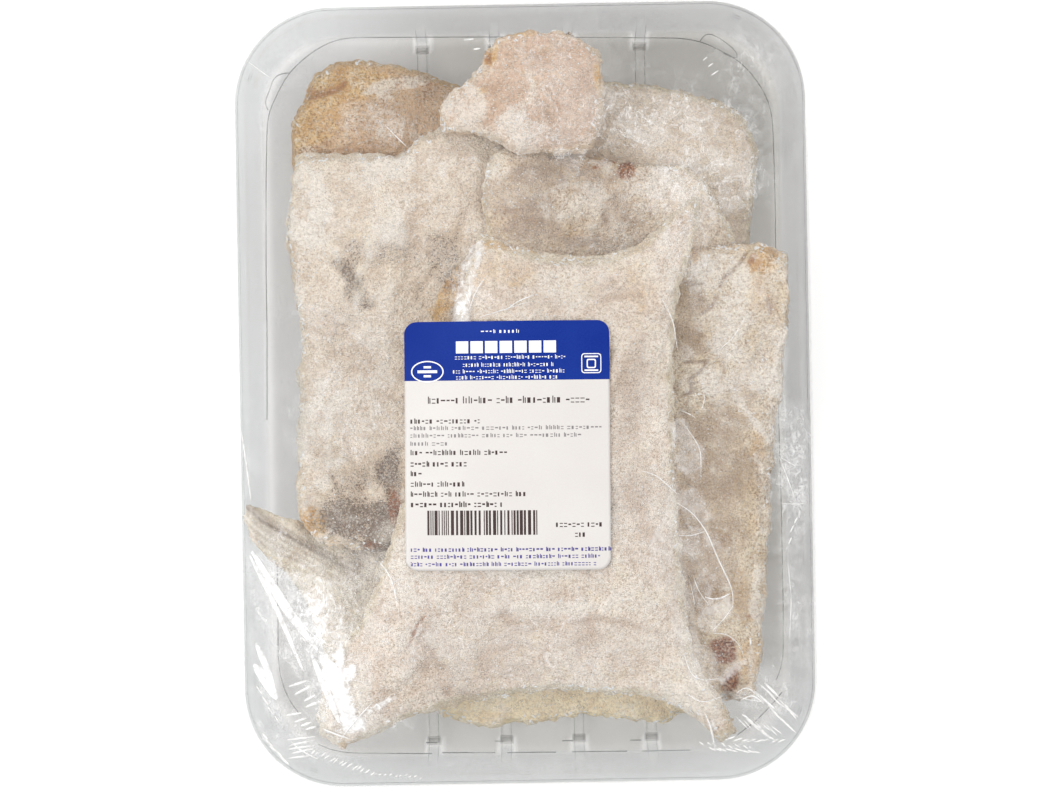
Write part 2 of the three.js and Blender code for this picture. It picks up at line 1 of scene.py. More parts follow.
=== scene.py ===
# %% [markdown]
# # A tray pack of salted dried cod
# Nine pieces of salted, half-dried cod lie in a clear plastic tray, stretch film is pulled tight over
# them, and a paper label is stuck on the film. The solids that carry the sizes come from the packed
# model, and they are loaded first.

# %% Load the imported model
import math

import bmesh
import bpy
import numpy as np
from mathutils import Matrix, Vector
from mathutils.bvhtree import BVHTree


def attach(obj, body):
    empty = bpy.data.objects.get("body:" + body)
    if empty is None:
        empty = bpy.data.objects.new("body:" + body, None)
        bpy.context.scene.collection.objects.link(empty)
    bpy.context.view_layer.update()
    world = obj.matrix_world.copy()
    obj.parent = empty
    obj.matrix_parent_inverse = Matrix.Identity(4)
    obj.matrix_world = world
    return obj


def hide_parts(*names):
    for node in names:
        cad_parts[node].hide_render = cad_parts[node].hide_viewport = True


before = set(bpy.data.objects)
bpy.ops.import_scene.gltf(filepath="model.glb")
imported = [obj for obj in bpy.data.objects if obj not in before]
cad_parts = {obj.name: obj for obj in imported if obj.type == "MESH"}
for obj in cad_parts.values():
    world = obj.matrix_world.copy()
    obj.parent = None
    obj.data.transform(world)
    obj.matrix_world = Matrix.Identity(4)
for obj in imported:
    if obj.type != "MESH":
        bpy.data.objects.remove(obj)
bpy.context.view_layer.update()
MM = 0.001  # the lesson thinks in millimetres, and Blender's file is in metres
scene = bpy.context.scene
print("solids:", ", ".join(sorted(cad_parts)))

# %% [markdown]
# ## Camera
# The pack is seen from straight above, from about 90 cm, turned by one degree. A long lens keeps the
# tray's walls nearly end-on. `seen` turns a point of the 1054 x 788 view into a place on a level plane,
# which is handy later for saying where a stain or a fold lies.

# %% Camera
EYE = 900.0
VIEW_TURN = math.radians(1.0)
VIEW_MIDDLE = (525.0, 393.5)
PITCH = 0.3214  # millimetres to one point of the view, at PITCH_LEVEL above the table
PITCH_LEVEL = 50.0

camera_data = bpy.data.cameras.new("camera")
camera_data.sensor_width = 36.0
camera_data.lens = 90.33
camera = bpy.data.objects.new("camera", camera_data)
camera.location = (0.00064, -0.00016, EYE * MM)
camera.rotation_euler = (0.0, 0.0, -VIEW_TURN)
scene.collection.objects.link(camera)
scene.camera = camera


def pitch_at(level):
    """Millimetres to one point of the view, on a level above the table."""
    return PITCH * (EYE - level) / (EYE - PITCH_LEVEL)


def seen(u, v, z=40.0):
    """The place on the level z, in millimetres, that the camera shows at point u, v of the view."""
    pitch = pitch_at(z)
    across = u - VIEW_MIDDLE[0]
    down = v - VIEW_MIDDLE[1]
    x = pitch * (across * math.cos(VIEW_TURN) - down * math.sin(VIEW_TURN))
    y = -pitch * (across * math.sin(VIEW_TURN) + down * math.cos(VIEW_TURN))
    return x, y


print("the middle of the view is at", [round(c, 2) for c in seen(527, 394)])

# %% [markdown]
# ## Nodes written as sums
# A material is a little sum over the surface. `Wire` wraps one output of a node, so that `1 - mask * 0.5`
# adds the Math nodes by itself. `Finish.node` makes every other node: its settings are set first, then
# its sockets get values or wires.

# %% A small language for materials
class Wire:
    """An output of a node that is used in a sum like a number."""

    def __init__(self, finish, socket):
        self.finish = finish
        self.socket = socket

    def sum(self, operation, first, second):
        return self.finish.node("ShaderNodeMath", {"operation": operation}, {0: first, 1: second})

    def __add__(self, other):
        return self.sum("ADD", self, other)

    def __radd__(self, other):
        return self.sum("ADD", other, self)

    def __sub__(self, other):
        return self.sum("SUBTRACT", self, other)

    def __rsub__(self, other):
        return self.sum("SUBTRACT", other, self)

    def __mul__(self, other):
        return self.sum("MULTIPLY", self, other)

    def size(self):
        return self.finish.node("ShaderNodeMath", {"operation": "ABSOLUTE"}, {0: self})

    def least(self, other):
        return self.sum("MINIMUM", self, other)

    def step(self, low, high):
        """0 below low, 1 above high, and smooth between them."""
        settings = {"interpolation_type": "SMOOTHSTEP"}
        return self.finish.node("ShaderNodeMapRange", settings, {0: self, 1: low, 2: high, 3: 0.0, 4: 1.0})


print("wires add up like numbers")

# %% A material in the making
class Finish:
    """A material that is being made."""

    def __init__(self, name):
        self.material = bpy.data.materials.new(name)
        self.material.use_nodes = True
        self.tree = self.material.node_tree
        self.tree.nodes.clear()
        self.places = {}

    def node(self, kind, settings=None, sockets=None, out=0):
        node = self.tree.nodes.new(kind)
        for name, value in (settings or {}).items():
            setattr(node, name, value)
        for key, value in (sockets or {}).items():
            if isinstance(value, Wire):
                self.tree.links.new(value.socket, node.inputs[key])
            else:
                node.inputs[key].default_value = value
        return Wire(self, node.outputs[out])

    def millimetres(self):
        """Object coordinates, in millimetres."""
        if "mm" not in self.places:
            place = self.node("ShaderNodeTexCoord", out=3)
            settings = {"operation": "SCALE"}
            self.places["mm"] = self.node("ShaderNodeVectorMath", settings, {0: place, 3: 1.0 / MM})
        return self.places["mm"]

    def noise(self, size, detail=3.0, rough=0.55, warp=0.0, stretch=None):
        """Smooth noise from 0 to 1 with lumps about size millimetres across."""
        place = self.millimetres()
        if stretch:
            turn, factors = stretch
            mapping = {"vector_type": "POINT"}
            place = self.node("ShaderNodeMapping", mapping, {0: place, 2: (0.0, 0.0, turn), 3: factors})
        sockets = {"Vector": place, "Scale": 1.0 / size, "Detail": detail, "Roughness": rough,
                   "Distortion": warp}
        return self.node("ShaderNodeTexNoise", {"noise_dimensions": "3D"}, sockets)

    def cells(self, size):
        """Distance from the middle of the nearest crystal, for crystals about size millimetres across."""
        sockets = {"Vector": self.millimetres(), "Scale": 1.0 / size}
        return self.node("ShaderNodeTexVoronoi", {"feature": "F1"}, sockets)

    def painted(self, name):
        """The four channels of a colour that is stored on the mesh's points."""
        settings = {"attribute_type": "GEOMETRY", "attribute_name": name}
        colour = self.node("ShaderNodeAttribute", settings)
        source = colour.socket.node
        parts = [self.node("ShaderNodeSeparateColor", sockets={0: colour}, out=k) for k in range(3)]
        return parts + [Wire(self, source.outputs[3])]

    def mix(self, share, first, second, blend="MIX"):
        """A colour between two colours."""
        settings = {"data_type": "RGBA", "blend_type": blend, "clamp_factor": True}
        return self.node("ShaderNodeMix", settings, {0: share, 6: first, 7: second}, 2)

    def bump(self, height, strength, depth):
        """A normal that leans as if the surface rose by height times depth millimetres."""
        sockets = {"Strength": strength, "Distance": depth * MM, "Height": height}
        return self.node("ShaderNodeBump", sockets=sockets)

    def surface(self, shader):
        output = self.tree.nodes.new("ShaderNodeOutputMaterial")
        self.tree.links.new(shader.socket, output.inputs["Surface"])
        return self.material


print("a finish can be made")

# %% Colours as they look on a screen
def tone(red, green, blue):
    """A colour given as it looks on a screen, from 0 to 255, as the linear colour that Blender works in."""
    def linear(part):
        share = part / 255.0
        return share / 12.92 if share <= 0.04045 else ((share + 0.055) / 1.055) ** 2.4
    return (linear(red), linear(green), linear(blue), 1.0)


print("a warm white in linear numbers:", [round(c, 3) for c in tone(240, 235, 225)])

# %% [markdown]
# ## Table and light
# The pack stands on a plain pale table under soft light. Two large soft boxes stand left and right, a
# weaker one at the far end, and the place right above the pack is left dark, so that the level film
# doesn't throw a veil of light into the camera. The sides of the world are a little darker than its top:
# that is what draws the edges of clear plastic.

# %% Table
table_finish = Finish("table paint")
table_shade = table_finish.noise(60.0, 2.0)
table_colour = table_finish.mix(table_shade, tone(246, 246, 246), tone(249, 249, 249))
table_shader = table_finish.node("ShaderNodeBsdfPrincipled", sockets={
    "Base Color": table_colour, "Roughness": 0.9,
    "Emission Color": tone(255, 255, 255), "Emission Strength": 0.3,
})
table_mesh = bpy.data.meshes.new("table")
table_mesh.from_pydata([(-4, -4, 0), (4, -4, 0), (4, 4, 0), (-4, 4, 0)], [], [(0, 1, 2, 3)])
table_mesh.materials.append(table_finish.surface(table_shader))
table = bpy.data.objects.new("table", table_mesh)
scene.collection.objects.link(table)
print("table:", len(table_mesh.vertices), "corners")

# %% Soft boxes
def softbox(name, place, size, power):
    """A square light, in metres, that looks at the pack."""
    data = bpy.data.lights.new(name, "AREA")
    data.shape = "RECTANGLE"
    data.size, data.size_y = size
    data.energy = power
    lamp = bpy.data.objects.new(name, data)
    lamp.location = place
    lamp.rotation_euler = (Vector((0, 0, 0.03)) - Vector(place)).to_track_quat("-Z", "Y").to_euler()
    scene.collection.objects.link(lamp)


softbox("left light", (-1.15, -0.25, 1.15), (0.8, 1.1), 14.0)
softbox("right light", (1.2, 0.1, 1.25), (0.8, 1.1), 9.0)
softbox("far light", (-0.1, 1.35, 1.2), (1.3, 0.6), 8.0)

# %% World
world = bpy.data.worlds.new("studio")
world.use_nodes = True
scene.world = world
sky = world.node_tree
sky.nodes.clear()
sky_place = sky.nodes.new("ShaderNodeTexCoord")
sky_parts = sky.nodes.new("ShaderNodeSeparateXYZ")
sky_ramp = sky.nodes.new("ShaderNodeValToRGB")
sky_light = sky.nodes.new("ShaderNodeBackground")
sky_output = sky.nodes.new("ShaderNodeOutputWorld")
sky_side, sky_top = sky_ramp.color_ramp.elements
sky_side.position = 0.05
sky_side.color = (0.62, 0.63, 0.64, 1.0)
sky_top.position = 0.5
sky_top.color = (1.0, 1.0, 1.0, 1.0)
sky_light.inputs["Strength"].default_value = 0.55
sky.links.new(sky_place.outputs["Generated"], sky_parts.inputs[0])
sky.links.new(sky_parts.outputs["Z"], sky_ramp.inputs[0])
sky.links.new(sky_ramp.outputs[0], sky_light.inputs["Color"])
sky.links.new(sky_light.outputs[0], sky_output.inputs["Surface"])

scene.view_settings.view_transform = "Standard"
scene.cycles.transparent_max_bounces = 40
print("world:", len(sky.nodes), "nodes")

# %% [markdown]
# ## Unevenness
# Flesh, torn edges and crumpled film are all uneven in a way that has no rule, so they are made from
# noise. The numbers come from the place alone, through a hash, so every run gives the same fish.

# %% Noise for shapes
def hashed(i, j, k, seed):
    """A repeatable number from -1 to 1 for each corner of a lattice."""
    h = (i * 73856093) ^ (j * 19349663) ^ (k * 83492791) ^ (seed * 40503 + 977)
    h = h & 0xFFFFFFFF
    h = ((h ^ (h >> 15)) * 2246822519) & 0xFFFFFFFF
    h = ((h ^ (h >> 13)) * 1274126177) & 0xFFFFFFFF
    return ((h ^ (h >> 16)) & 0xFFFFFF) / 8388607.5 - 1.0


def unevenness(points, spread, seed=0):
    """Smooth noise from -1 to 1 with lumps about spread millimetres across."""
    place = np.asarray(points) / spread
    cell = np.floor(place).astype(np.int64)
    t = place - cell
    t = t * t * t * (t * (t * 6 - 15) + 10)
    total = 0.0
    for corner in range(8):
        step = np.array([corner & 1, corner >> 1 & 1, corner >> 2 & 1])
        share = np.where(step, t, 1 - t).prod(axis=1)
        i, j, k = (cell + step).T
        total = total + share * hashed(i, j, k, seed)
    return total


def rugged(points, spread, octaves, seed=0, keep=0.5):
    """Several layers of unevenness, each half as wide as the one before."""
    total = 0.0
    for octave in range(octaves):
        total = total + keep ** octave * unevenness(points, spread / 2 ** octave, seed + 31 * octave)
    return total


def eased(value, low, high):
    """0 below low, 1 above high, and smooth between them."""
    t = np.clip((value - low) / (high - low), 0.0, 1.0)
    return t * t * (3 - 2 * t)


sample = unevenness(np.array([[0.5, 0.5, 0.5], [7.2, 1.0, 3.0]]), 4.0)
print("two samples of noise:", sample.round(3))

# %% [markdown]
# ## Meshes and arrays
# numpy moves a hundred thousand points in one step, so the points of a mesh are read into an array, moved
# there, and written back.

# %% Meshes and arrays
def points_of(mesh):
    flat = np.empty(len(mesh.vertices) * 3)
    mesh.vertices.foreach_get("co", flat)
    return flat.reshape(-1, 3) / MM


def move_points(mesh, points):
    mesh.vertices.foreach_set("co", (points * MM).ravel())
    mesh.update()


def normals_of(mesh):
    flat = np.empty(len(mesh.vertices) * 3)
    mesh.vertex_normals.foreach_get("vector", flat)
    return flat.reshape(-1, 3)


def edges_of(mesh):
    flat = np.empty(len(mesh.edges) * 2, dtype=np.int32)
    mesh.edges.foreach_get("vertices", flat)
    return flat.reshape(-1, 2)


def averaged(values, edges):
    """The mean of each point's neighbours."""
    count = len(values)
    ends = np.concatenate([edges[:, 0], edges[:, 1]])
    others = np.concatenate([edges[:, 1], edges[:, 0]])
    share = np.maximum(np.bincount(ends, minlength=count), 1)
    columns = values.reshape(count, -1)
    sums = [np.bincount(ends, weights=columns[others, c], minlength=count) / share
            for c in range(columns.shape[1])]
    return np.stack(sums, axis=1).reshape(values.shape)


def smoothed(points, edges, rounds):
    """Irons out facets. Each shrinking step is followed by a growing one, so that thin edges stay."""
    for _ in range(rounds):
        points = points + 0.55 * (averaged(points, edges) - points)
        points = points - 0.57 * (averaged(points, edges) - points)
    return points


def paint(mesh, name, channels):
    """Stores four numbers from 0 to 1 on every point of a mesh."""
    layer = mesh.color_attributes.new(name, "FLOAT_COLOR", "POINT")
    layer.data.foreach_set("color", np.clip(channels, 0.0, 1.0).astype(np.float32).ravel())


def new_piece(name, mesh):
    piece = bpy.data.objects.new(name, mesh)
    scene.collection.objects.link(piece)
    return piece


def piece_of(name, points, faces):
    """A smooth piece from points in millimetres. Points that fall on each other become one."""
    net = bmesh.new()
    made = [net.verts.new(p) for p in (np.asarray(points) * MM).tolist()]
    for face in faces:
        net.faces.new([made[k] for k in face])
    bmesh.ops.remove_doubles(net, verts=net.verts, dist=1e-7)
    mesh = bpy.data.meshes.new(name)
    net.to_mesh(mesh)
    net.free()
    mesh.shade_smooth()
    return new_piece(name, mesh)


print("mesh helpers are ready")

# %% [markdown]
# ## The flesh, in common
# Each solid of cod is a coarse shape of flat facets. A voxel remesh turns a copy into an even net of
# squares about a millimetre wide, which is then smoothed and roughened: low lumps, a fine grain, ragged
# cut edges, and the dents, ridges and flakes that are listed for that piece. Colours that belong to a
# place, such as a golden end or a patch of skin, are painted on the points as four channels: golden,
# skin, frost and rust.

# %% From a solid to a net
VOXEL = 1.05


def net_of(node, voxel):
    """A copy of a solid as an even net of small squares."""
    net = bmesh.new()
    net.from_mesh(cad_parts[node].data)
    bmesh.ops.remove_doubles(net, verts=net.verts, dist=1e-6)
    coarse = bpy.data.meshes.new("coarse " + node)
    net.to_mesh(coarse)
    net.free()
    holder = new_piece("holder", coarse)
    voxels = holder.modifiers.new("voxels", "REMESH")
    voxels.mode = "VOXEL"
    voxels.voxel_size = voxel * MM
    found = holder.evaluated_get(bpy.context.evaluated_depsgraph_get())
    mesh = bpy.data.meshes.new_from_object(found)
    bpy.data.objects.remove(holder)
    mesh.name = node
    return mesh


def distance_to(path, points):
    """How far points are, in plan, from a path of straight steps, and how far along it they are, 0 to 1."""
    path = np.asarray(path, dtype=float)
    steps = np.linalg.norm(np.diff(path, axis=0), axis=1)
    best = np.full(len(points), 1e9)
    along = np.zeros(len(points))
    before = 0.0
    for start, end, length in zip(path[:-1], path[1:], steps):
        line = (end - start) / length
        away = points[:, :2] - start
        t = np.clip(away @ line, 0.0, length)
        far = np.linalg.norm(away - t[:, None] * line, axis=1)
        nearer = far < best
        best = np.where(nearer, far, best)
        along = np.where(nearer, (before + t) / steps.sum(), along)
        before += length
    return best, along


def spot(points, level, u, v, wide, high, turn=0.0):
    """1 in the middle of an oval patch and 0 outside it, with an uneven border, sized in view points."""
    x, y = seen(u, v, level)
    pitch = pitch_at(level)
    a = math.radians(turn)
    dx, dy = points[:, 0] - x, points[:, 1] - y
    across = (dx * math.cos(a) + dy * math.sin(a)) / (wide * pitch)
    up = (-dx * math.sin(a) + dy * math.cos(a)) / (high * pitch)
    border = np.hypot(across, up) + 0.34 * rugged(points, 8.0, 4, 5, 0.6)
    return 1.0 - eased(border, 0.45, 1.3)


ZONES = {"golden": 0, "skin": 1, "frost": 2, "rust": 3}
print("zones of colour:", list(ZONES))

# %% [markdown]
# ## What each piece shows
# The list gives, for each piece, its level above the table, how lumpy, grainy, ragged and flaky it is,
# its patches of colour (zone, place, half width and half height in points of the view, turn, strength)
# and its lines: cracks and folds that are pressed in, and ridges that stand up (path, half width and
# height in millimetres, zone, strength).

# %% Facts of the pieces
COD = {
    "cod_under": {
        "level": 20, "lumps": 0.6, "grain": 0.35, "ragged": 0.7, "flaky": 0.6,
        "patches": {
            "golden": [(500, 716, 30, 10, 0, 0.35)],
        },
        "lines": [],
    },
    "cod_back_left": {
        "level": 17, "lumps": 0.5, "grain": 0.3, "ragged": 0.5, "flaky": 0.1,
        "patches": {
            "golden": [
                (312, 112, 34, 44, 0, 1.0), (345, 84, 46, 22, 10, 0.8), (392, 78, 46, 12, 12, 0.3),
            ],
            "skin": [(398, 122, 46, 30, 0, 0.6), (432, 104, 26, 26, 0, 0.6)],
            "frost": [
                (404, 82, 40, 7, 12, 0.8), (388, 112, 26, 20, -40, 0.5), (352, 120, 16, 22, 0, 0.45),
            ],
            "rust": [(330, 149, 44, 4, 0, 0.35), (365, 147, 40, 6, 0, 0.25), (322, 92, 26, 3, -14, 0.45)],
        },
        "lines": [
            ([(298, 96), (322, 93), (338, 88), (350, 78)], 1.0, -0.8, "rust", 0.5),
            ([(346, 78), (345, 100), (336, 128)], 0.8, -0.5, "rust", 0.2),
        ],
    },
    "cod_back_right": {
        "level": 16, "lumps": 0.5, "grain": 0.3, "ragged": 0.6, "flaky": 0.35,
        "patches": {
            "golden": [
                (738, 140, 20, 30, 0, 0.3), (742, 105, 20, 10, 0, 0.2), (625, 128, 30, 20, 0, 0.15),
            ],
            "frost": [(660, 130, 60, 22, 0, 0.3), (690, 165, 50, 24, 0, 0.35)],
        },
        "lines": [],
    },
    "cod_fin": {
        "level": 38, "lumps": 0.35, "grain": 0.2, "ragged": 0.25, "flaky": 0.15, "voxel": 0.8,
        "patches": {
            "skin": [
                (352, 572, 16, 26, -10, 0.6), (340, 608, 14, 16, 0, 0.4), (356, 600, 8, 40, 10, 0.5),
                (372, 590, 10, 40, 10, 0.4),
            ],
            "golden": [(312, 600, 16, 40, -15, 0.35), (352, 545, 20, 8, -20, 0.3)],
            "frost": [(330, 640, 40, 50, 0, 0.6), (300, 650, 30, 60, 0, 0.6)],
        },
        "lines": [],
    },
    "cod_left": {
        "level": 34, "lumps": 0.7, "grain": 0.35, "ragged": 0.8, "flaky": 0.3,
        "patches": {
            "skin": [
                (350, 276, 26, 9, -48, 0.7), (362, 296, 26, 10, -40, 0.55), (384, 252, 40, 18, 0, 0.35),
                (340, 266, 16, 8, -40, 0.55), (440, 250, 18, 40, 20, 0.35), (400, 230, 40, 14, 10, 0.22),
                (330, 330, 26, 30, 0, 0.22), (351, 518, 32, 26, 0, 0.85), (382, 522, 22, 38, 12, 1.0),
                (372, 546, 14, 10, 0, 1.0), (390, 478, 14, 34, 0, 0.75), (352, 484, 30, 16, 0, 0.35),
                (330, 440, 30, 40, 0, 0.25), (372, 176, 30, 16, 0, 0.2),
            ],
            "rust": [(394, 506, 8, 30, 8, 0.6), (372, 545, 12, 6, 0, 0.5)],
            "golden": [
                (447, 300, 34, 9, 64, 0.8), (440, 316, 12, 14, 0, 0.5), (316, 524, 16, 18, 20, 0.75),
                (330, 545, 22, 8, 30, 0.5), (306, 470, 14, 60, 0, 0.22), (306, 180, 6, 10, 0, 0.4),
            ],
            "frost": [
                (400, 165, 60, 16, 8, 0.5), (310, 210, 24, 50, 0, 0.6), (312, 440, 20, 60, 0, 0.5),
                (420, 215, 40, 26, 0, 0.5), (360, 400, 40, 50, 0, 0.4),
            ],
        },
        "lines": [
            ([(322, 466), (340, 490), (352, 500), (372, 498)], 0.7, -0.7, "skin", 0.5),
            ([(325, 520), (345, 530), (362, 545)], 0.6, -0.7, "skin", 0.8),
            ([(470, 200), (455, 240), (430, 275), (410, 310)], 1.2, -0.6, "skin", 0.25),
            ([(288, 200), (300, 260), (296, 330)], 1.5, 0.6, "frost", 0.4),
        ],
    },
    "cod_middle": {
        "level": 38, "lumps": 0.6, "grain": 0.35, "ragged": 0.5, "flaky": 0.25,
        "patches": {
            "skin": [
                (556, 172, 50, 18, 8, 0.55), (530, 212, 34, 30, -30, 0.55), (528, 228, 36, 12, 0, 0.5),
                (590, 240, 40, 6, -2, 0.4), (505, 190, 26, 24, 0, 0.35), (596, 182, 30, 12, 20, 0.5),
                (616, 206, 20, 22, 0, 0.5), (640, 214, 16, 14, 0, 0.35),
            ],
            "rust": [
                (630, 167, 9, 11, -20, 1.0), (603, 141, 5, 12, 0, 1.0), (612, 158, 18, 3, 20, 0.8),
                (652, 208, 3, 10, 0, 0.6),
            ],
            "golden": [
                (600, 160, 30, 6, 16, 0.5), (560, 226, 40, 12, -10, 0.3), (660, 195, 26, 24, 0, 0.3),
                (590, 214, 30, 14, 0, 0.3),
            ],
            "frost": [
                (655, 185, 34, 26, 0, 0.7), (582, 204, 30, 22, 0, 0.8), (600, 226, 30, 8, 0, 0.5),
                (480, 170, 26, 20, 0, 0.5), (556, 196, 16, 12, 0, 0.4),
            ],
        },
        "lines": [
            ([(578, 152), (600, 156), (622, 168)], 0.8, 0.7, "golden", 0.5),
            ([(584, 158), (604, 164), (620, 176)], 0.8, 0.6, "frost", 0.4),
            ([(600, 206), (606, 216), (610, 228)], 0.5, -0.5, "skin", 0.8),
        ],
    },
    "cod_top_flap": {
        "level": 38, "lumps": 0.6, "grain": 0.35, "ragged": 0.7, "flaky": 0.35,
        "patches": {
            "golden": [
                (487, 50, 10, 18, -10, 1.0), (492, 62, 7, 8, 0, 1.0), (598, 78, 5, 16, 0, 0.6),
                (482, 92, 14, 6, 0, 0.4), (530, 34, 34, 5, 0, 0.4),
            ],
            "rust": [
                (476, 54, 4, 5, 0, 1.0), (488, 58, 5, 9, -10, 0.45), (540, 52, 40, 16, 0, 0.2),
                (560, 90, 30, 30, 0, 0.12),
            ],
            "frost": [(470, 110, 22, 26, 0, 0.7), (520, 130, 44, 22, 0, 0.6)],
            "skin": [(556, 138, 22, 12, 0, 0.45), (545, 116, 16, 12, 0, 0.25)],
        },
        "lines": [
            ([(478, 48), (484, 56), (492, 66)], 1.0, -0.8, "rust", 0.5),
            ([(510, 62), (540, 48), (566, 44)], 0.7, 0.4, "frost", 0.2),
            ([(470, 78), (500, 96), (530, 90)], 0.9, -0.5, "skin", 0.2),
        ],
    },
    "cod_right": {
        "level": 36, "lumps": 0.7, "grain": 0.35, "ragged": 0.6, "flaky": 0.2, "voxel": 0.9,
        "patches": {
            "golden": [
                (764, 262, 18, 16, 0, 0.9), (790, 280, 8, 26, 0, 0.5), (696, 254, 6, 12, 0, 0.7),
                (757, 292, 10, 22, 20, 0.4), (760, 440, 14, 30, 0, 0.4), (752, 500, 16, 50, 0, 0.3),
                (742, 600, 16, 50, 0, 0.4), (750, 660, 14, 40, 0, 0.5), (736, 694, 16, 8, 0, 0.4),
                (700, 244, 20, 8, 0, 0.5),
            ],
            "rust": [
                (758, 264, 5, 12, 0, 0.35), (726, 647, 16, 20, 10, 1.0), (732, 683, 11, 17, -20, 1.0),
                (718, 430, 40, 16, -10, 0.2), (706, 480, 20, 40, 0, 0.16), (752, 258, 6, 9, -15, 0.5),
                (758, 618, 12, 2, 0, 0.55), (762, 282, 10, 14, 0, 0.35),
            ],
            "frost": [
                (780, 268, 14, 24, 0, 0.4), (738, 702, 26, 14, 0, 0.9), (718, 272, 26, 24, 0, 0.8),
                (732, 325, 26, 50, 0, 0.85), (770, 350, 20, 60, 0, 0.75), (714, 378, 18, 18, 0, 0.8),
                (774, 420, 10, 40, 4, 0.6), (766, 500, 9, 60, 3, 0.55), (760, 590, 9, 50, 3, 0.6),
                (755, 680, 8, 40, 3, 0.6), (730, 395, 10, 10, 0, 0.5),
            ],
            "skin": [
                (688, 302, 18, 20, 0, 0.5), (688, 342, 18, 26, 0, 0.62), (744, 388, 20, 22, -30, 0.5),
                (716, 350, 12, 24, 0, 0.35), (710, 428, 52, 30, -12, 0.6), (720, 474, 36, 44, 0, 0.6),
                (694, 500, 24, 80, 0, 0.6), (720, 540, 26, 60, 0, 0.55), (702, 580, 26, 60, 0, 0.65),
                (738, 600, 22, 40, 0, 0.4), (722, 664, 20, 40, 0, 0.45), (772, 306, 6, 16, 0, 0.3),
            ],
        },
        "lines": [
            ([(748, 247), (742, 260), (726, 276), (718, 292)], 0.45, -1.0, "skin", 1.0),
            ([(718, 292), (712, 306), (697, 315)], 0.5, -0.5, "skin", 0.8),
            ([(680, 281), (704, 285)], 0.42, -0.8, "skin", 1.0),
            ([(700, 288), (700, 304)], 0.5, -0.4, "skin", 0.8),
            ([(676, 360), (706, 361), (702, 370), (690, 379), (693, 390), (678, 397)],
             0.42, -0.8, "skin", 1.0),
            ([(724, 350), (722, 372), (716, 386)], 0.5, -0.4, "skin", 0.6),
            ([(770, 290), (768, 306), (772, 318)], 0.5, -0.4, "rust", 0.5),
            ([(788, 262), (784, 330), (774, 380)], 1.2, 0.6, "frost", 0.3),
            ([(730, 390), (750, 415), (776, 446)], 1.0, 0.6, "frost", 0.8),
            ([(716, 664), (722, 690), (738, 712)], 0.8, -0.8, "skin", 0.6),
        ],
    },
    "cod_centre": {
        "level": 49, "lumps": 0.55, "grain": 0.3, "ragged": 0.7, "flaky": 0.12,
        "patches": {
            "golden": [
                (500, 270, 50, 26, 0, 0.35), (530, 246, 70, 7, -3, 0.5), (640, 280, 24, 50, 0, 0.3),
                (470, 318, 8, 26, 0, 0.2), (362, 668, 12, 14, 0, 0.2), (690, 690, 22, 14, -30, 0.25),
                (700, 712, 14, 14, 0, 0.2), (345, 745, 30, 10, 20, 0.4),
            ],
            "skin": [
                (600, 290, 34, 16, 0, 0.3), (552, 300, 40, 14, 0, 0.2), (634, 380, 16, 60, 0, 0.4),
                (634, 470, 20, 60, 0, 0.3), (420, 660, 40, 22, 25, 0.3), (500, 620, 90, 24, 0, 0.22),
                (590, 640, 70, 20, 4, 0.25), (500, 670, 60, 22, 0, 0.3), (426, 634, 14, 22, -30, 0.45),
                (470, 690, 40, 14, 0, 0.4),
            ],
            "rust": [(414, 634, 3, 5, -20, 1.0), (372, 695, 8, 8, 0, 0.25), (698, 684, 6, 8, 0, 0.2)],
            "frost": [
                (530, 560, 100, 20, 0, 0.35), (560, 608, 100, 8, 0, 0.5), (440, 610, 16, 60, -10, 0.4),
                (405, 590, 20, 60, 0, 0.5), (345, 700, 44, 56, 0, 1.0), (696, 706, 36, 44, 0, 1.0),
                (320, 735, 30, 30, 0, 1.0),
            ],
        },
        "lines": [
            ([(560, 622), (600, 618), (650, 632), (668, 632)], 0.9, -0.5, "skin", 0.45),
            ([(470, 612), (540, 604), (600, 608)], 1.2, 0.4, "frost", 0.3),
            ([(492, 655), (515, 645), (540, 650)], 0.9, -0.5, "skin", 0.35),
            ([(427, 612), (420, 622), (414, 634), (408, 645), (404, 652)], 0.5, -0.7, "rust", 0.6),
            ([(418, 634), (430, 650), (446, 676)], 1.2, -0.5, "skin", 0.5),
            ([(380, 690), (400, 700), (420, 690)], 0.9, -0.5, "rust", 0.15),
        ],
    },
}
print(len(COD), "pieces,", sum(len(f["lines"]) for f in COD.values()), "lines")

# %% [markdown]
# ## Roughening the pieces
# A point of the net is moved along the surface's own direction. Its relief is lumps plus grain, more at
# cut edges, where torn fibres make it ragged, and the listed lines are added to it. The same relief
# decides where salt gathers: on the high places.

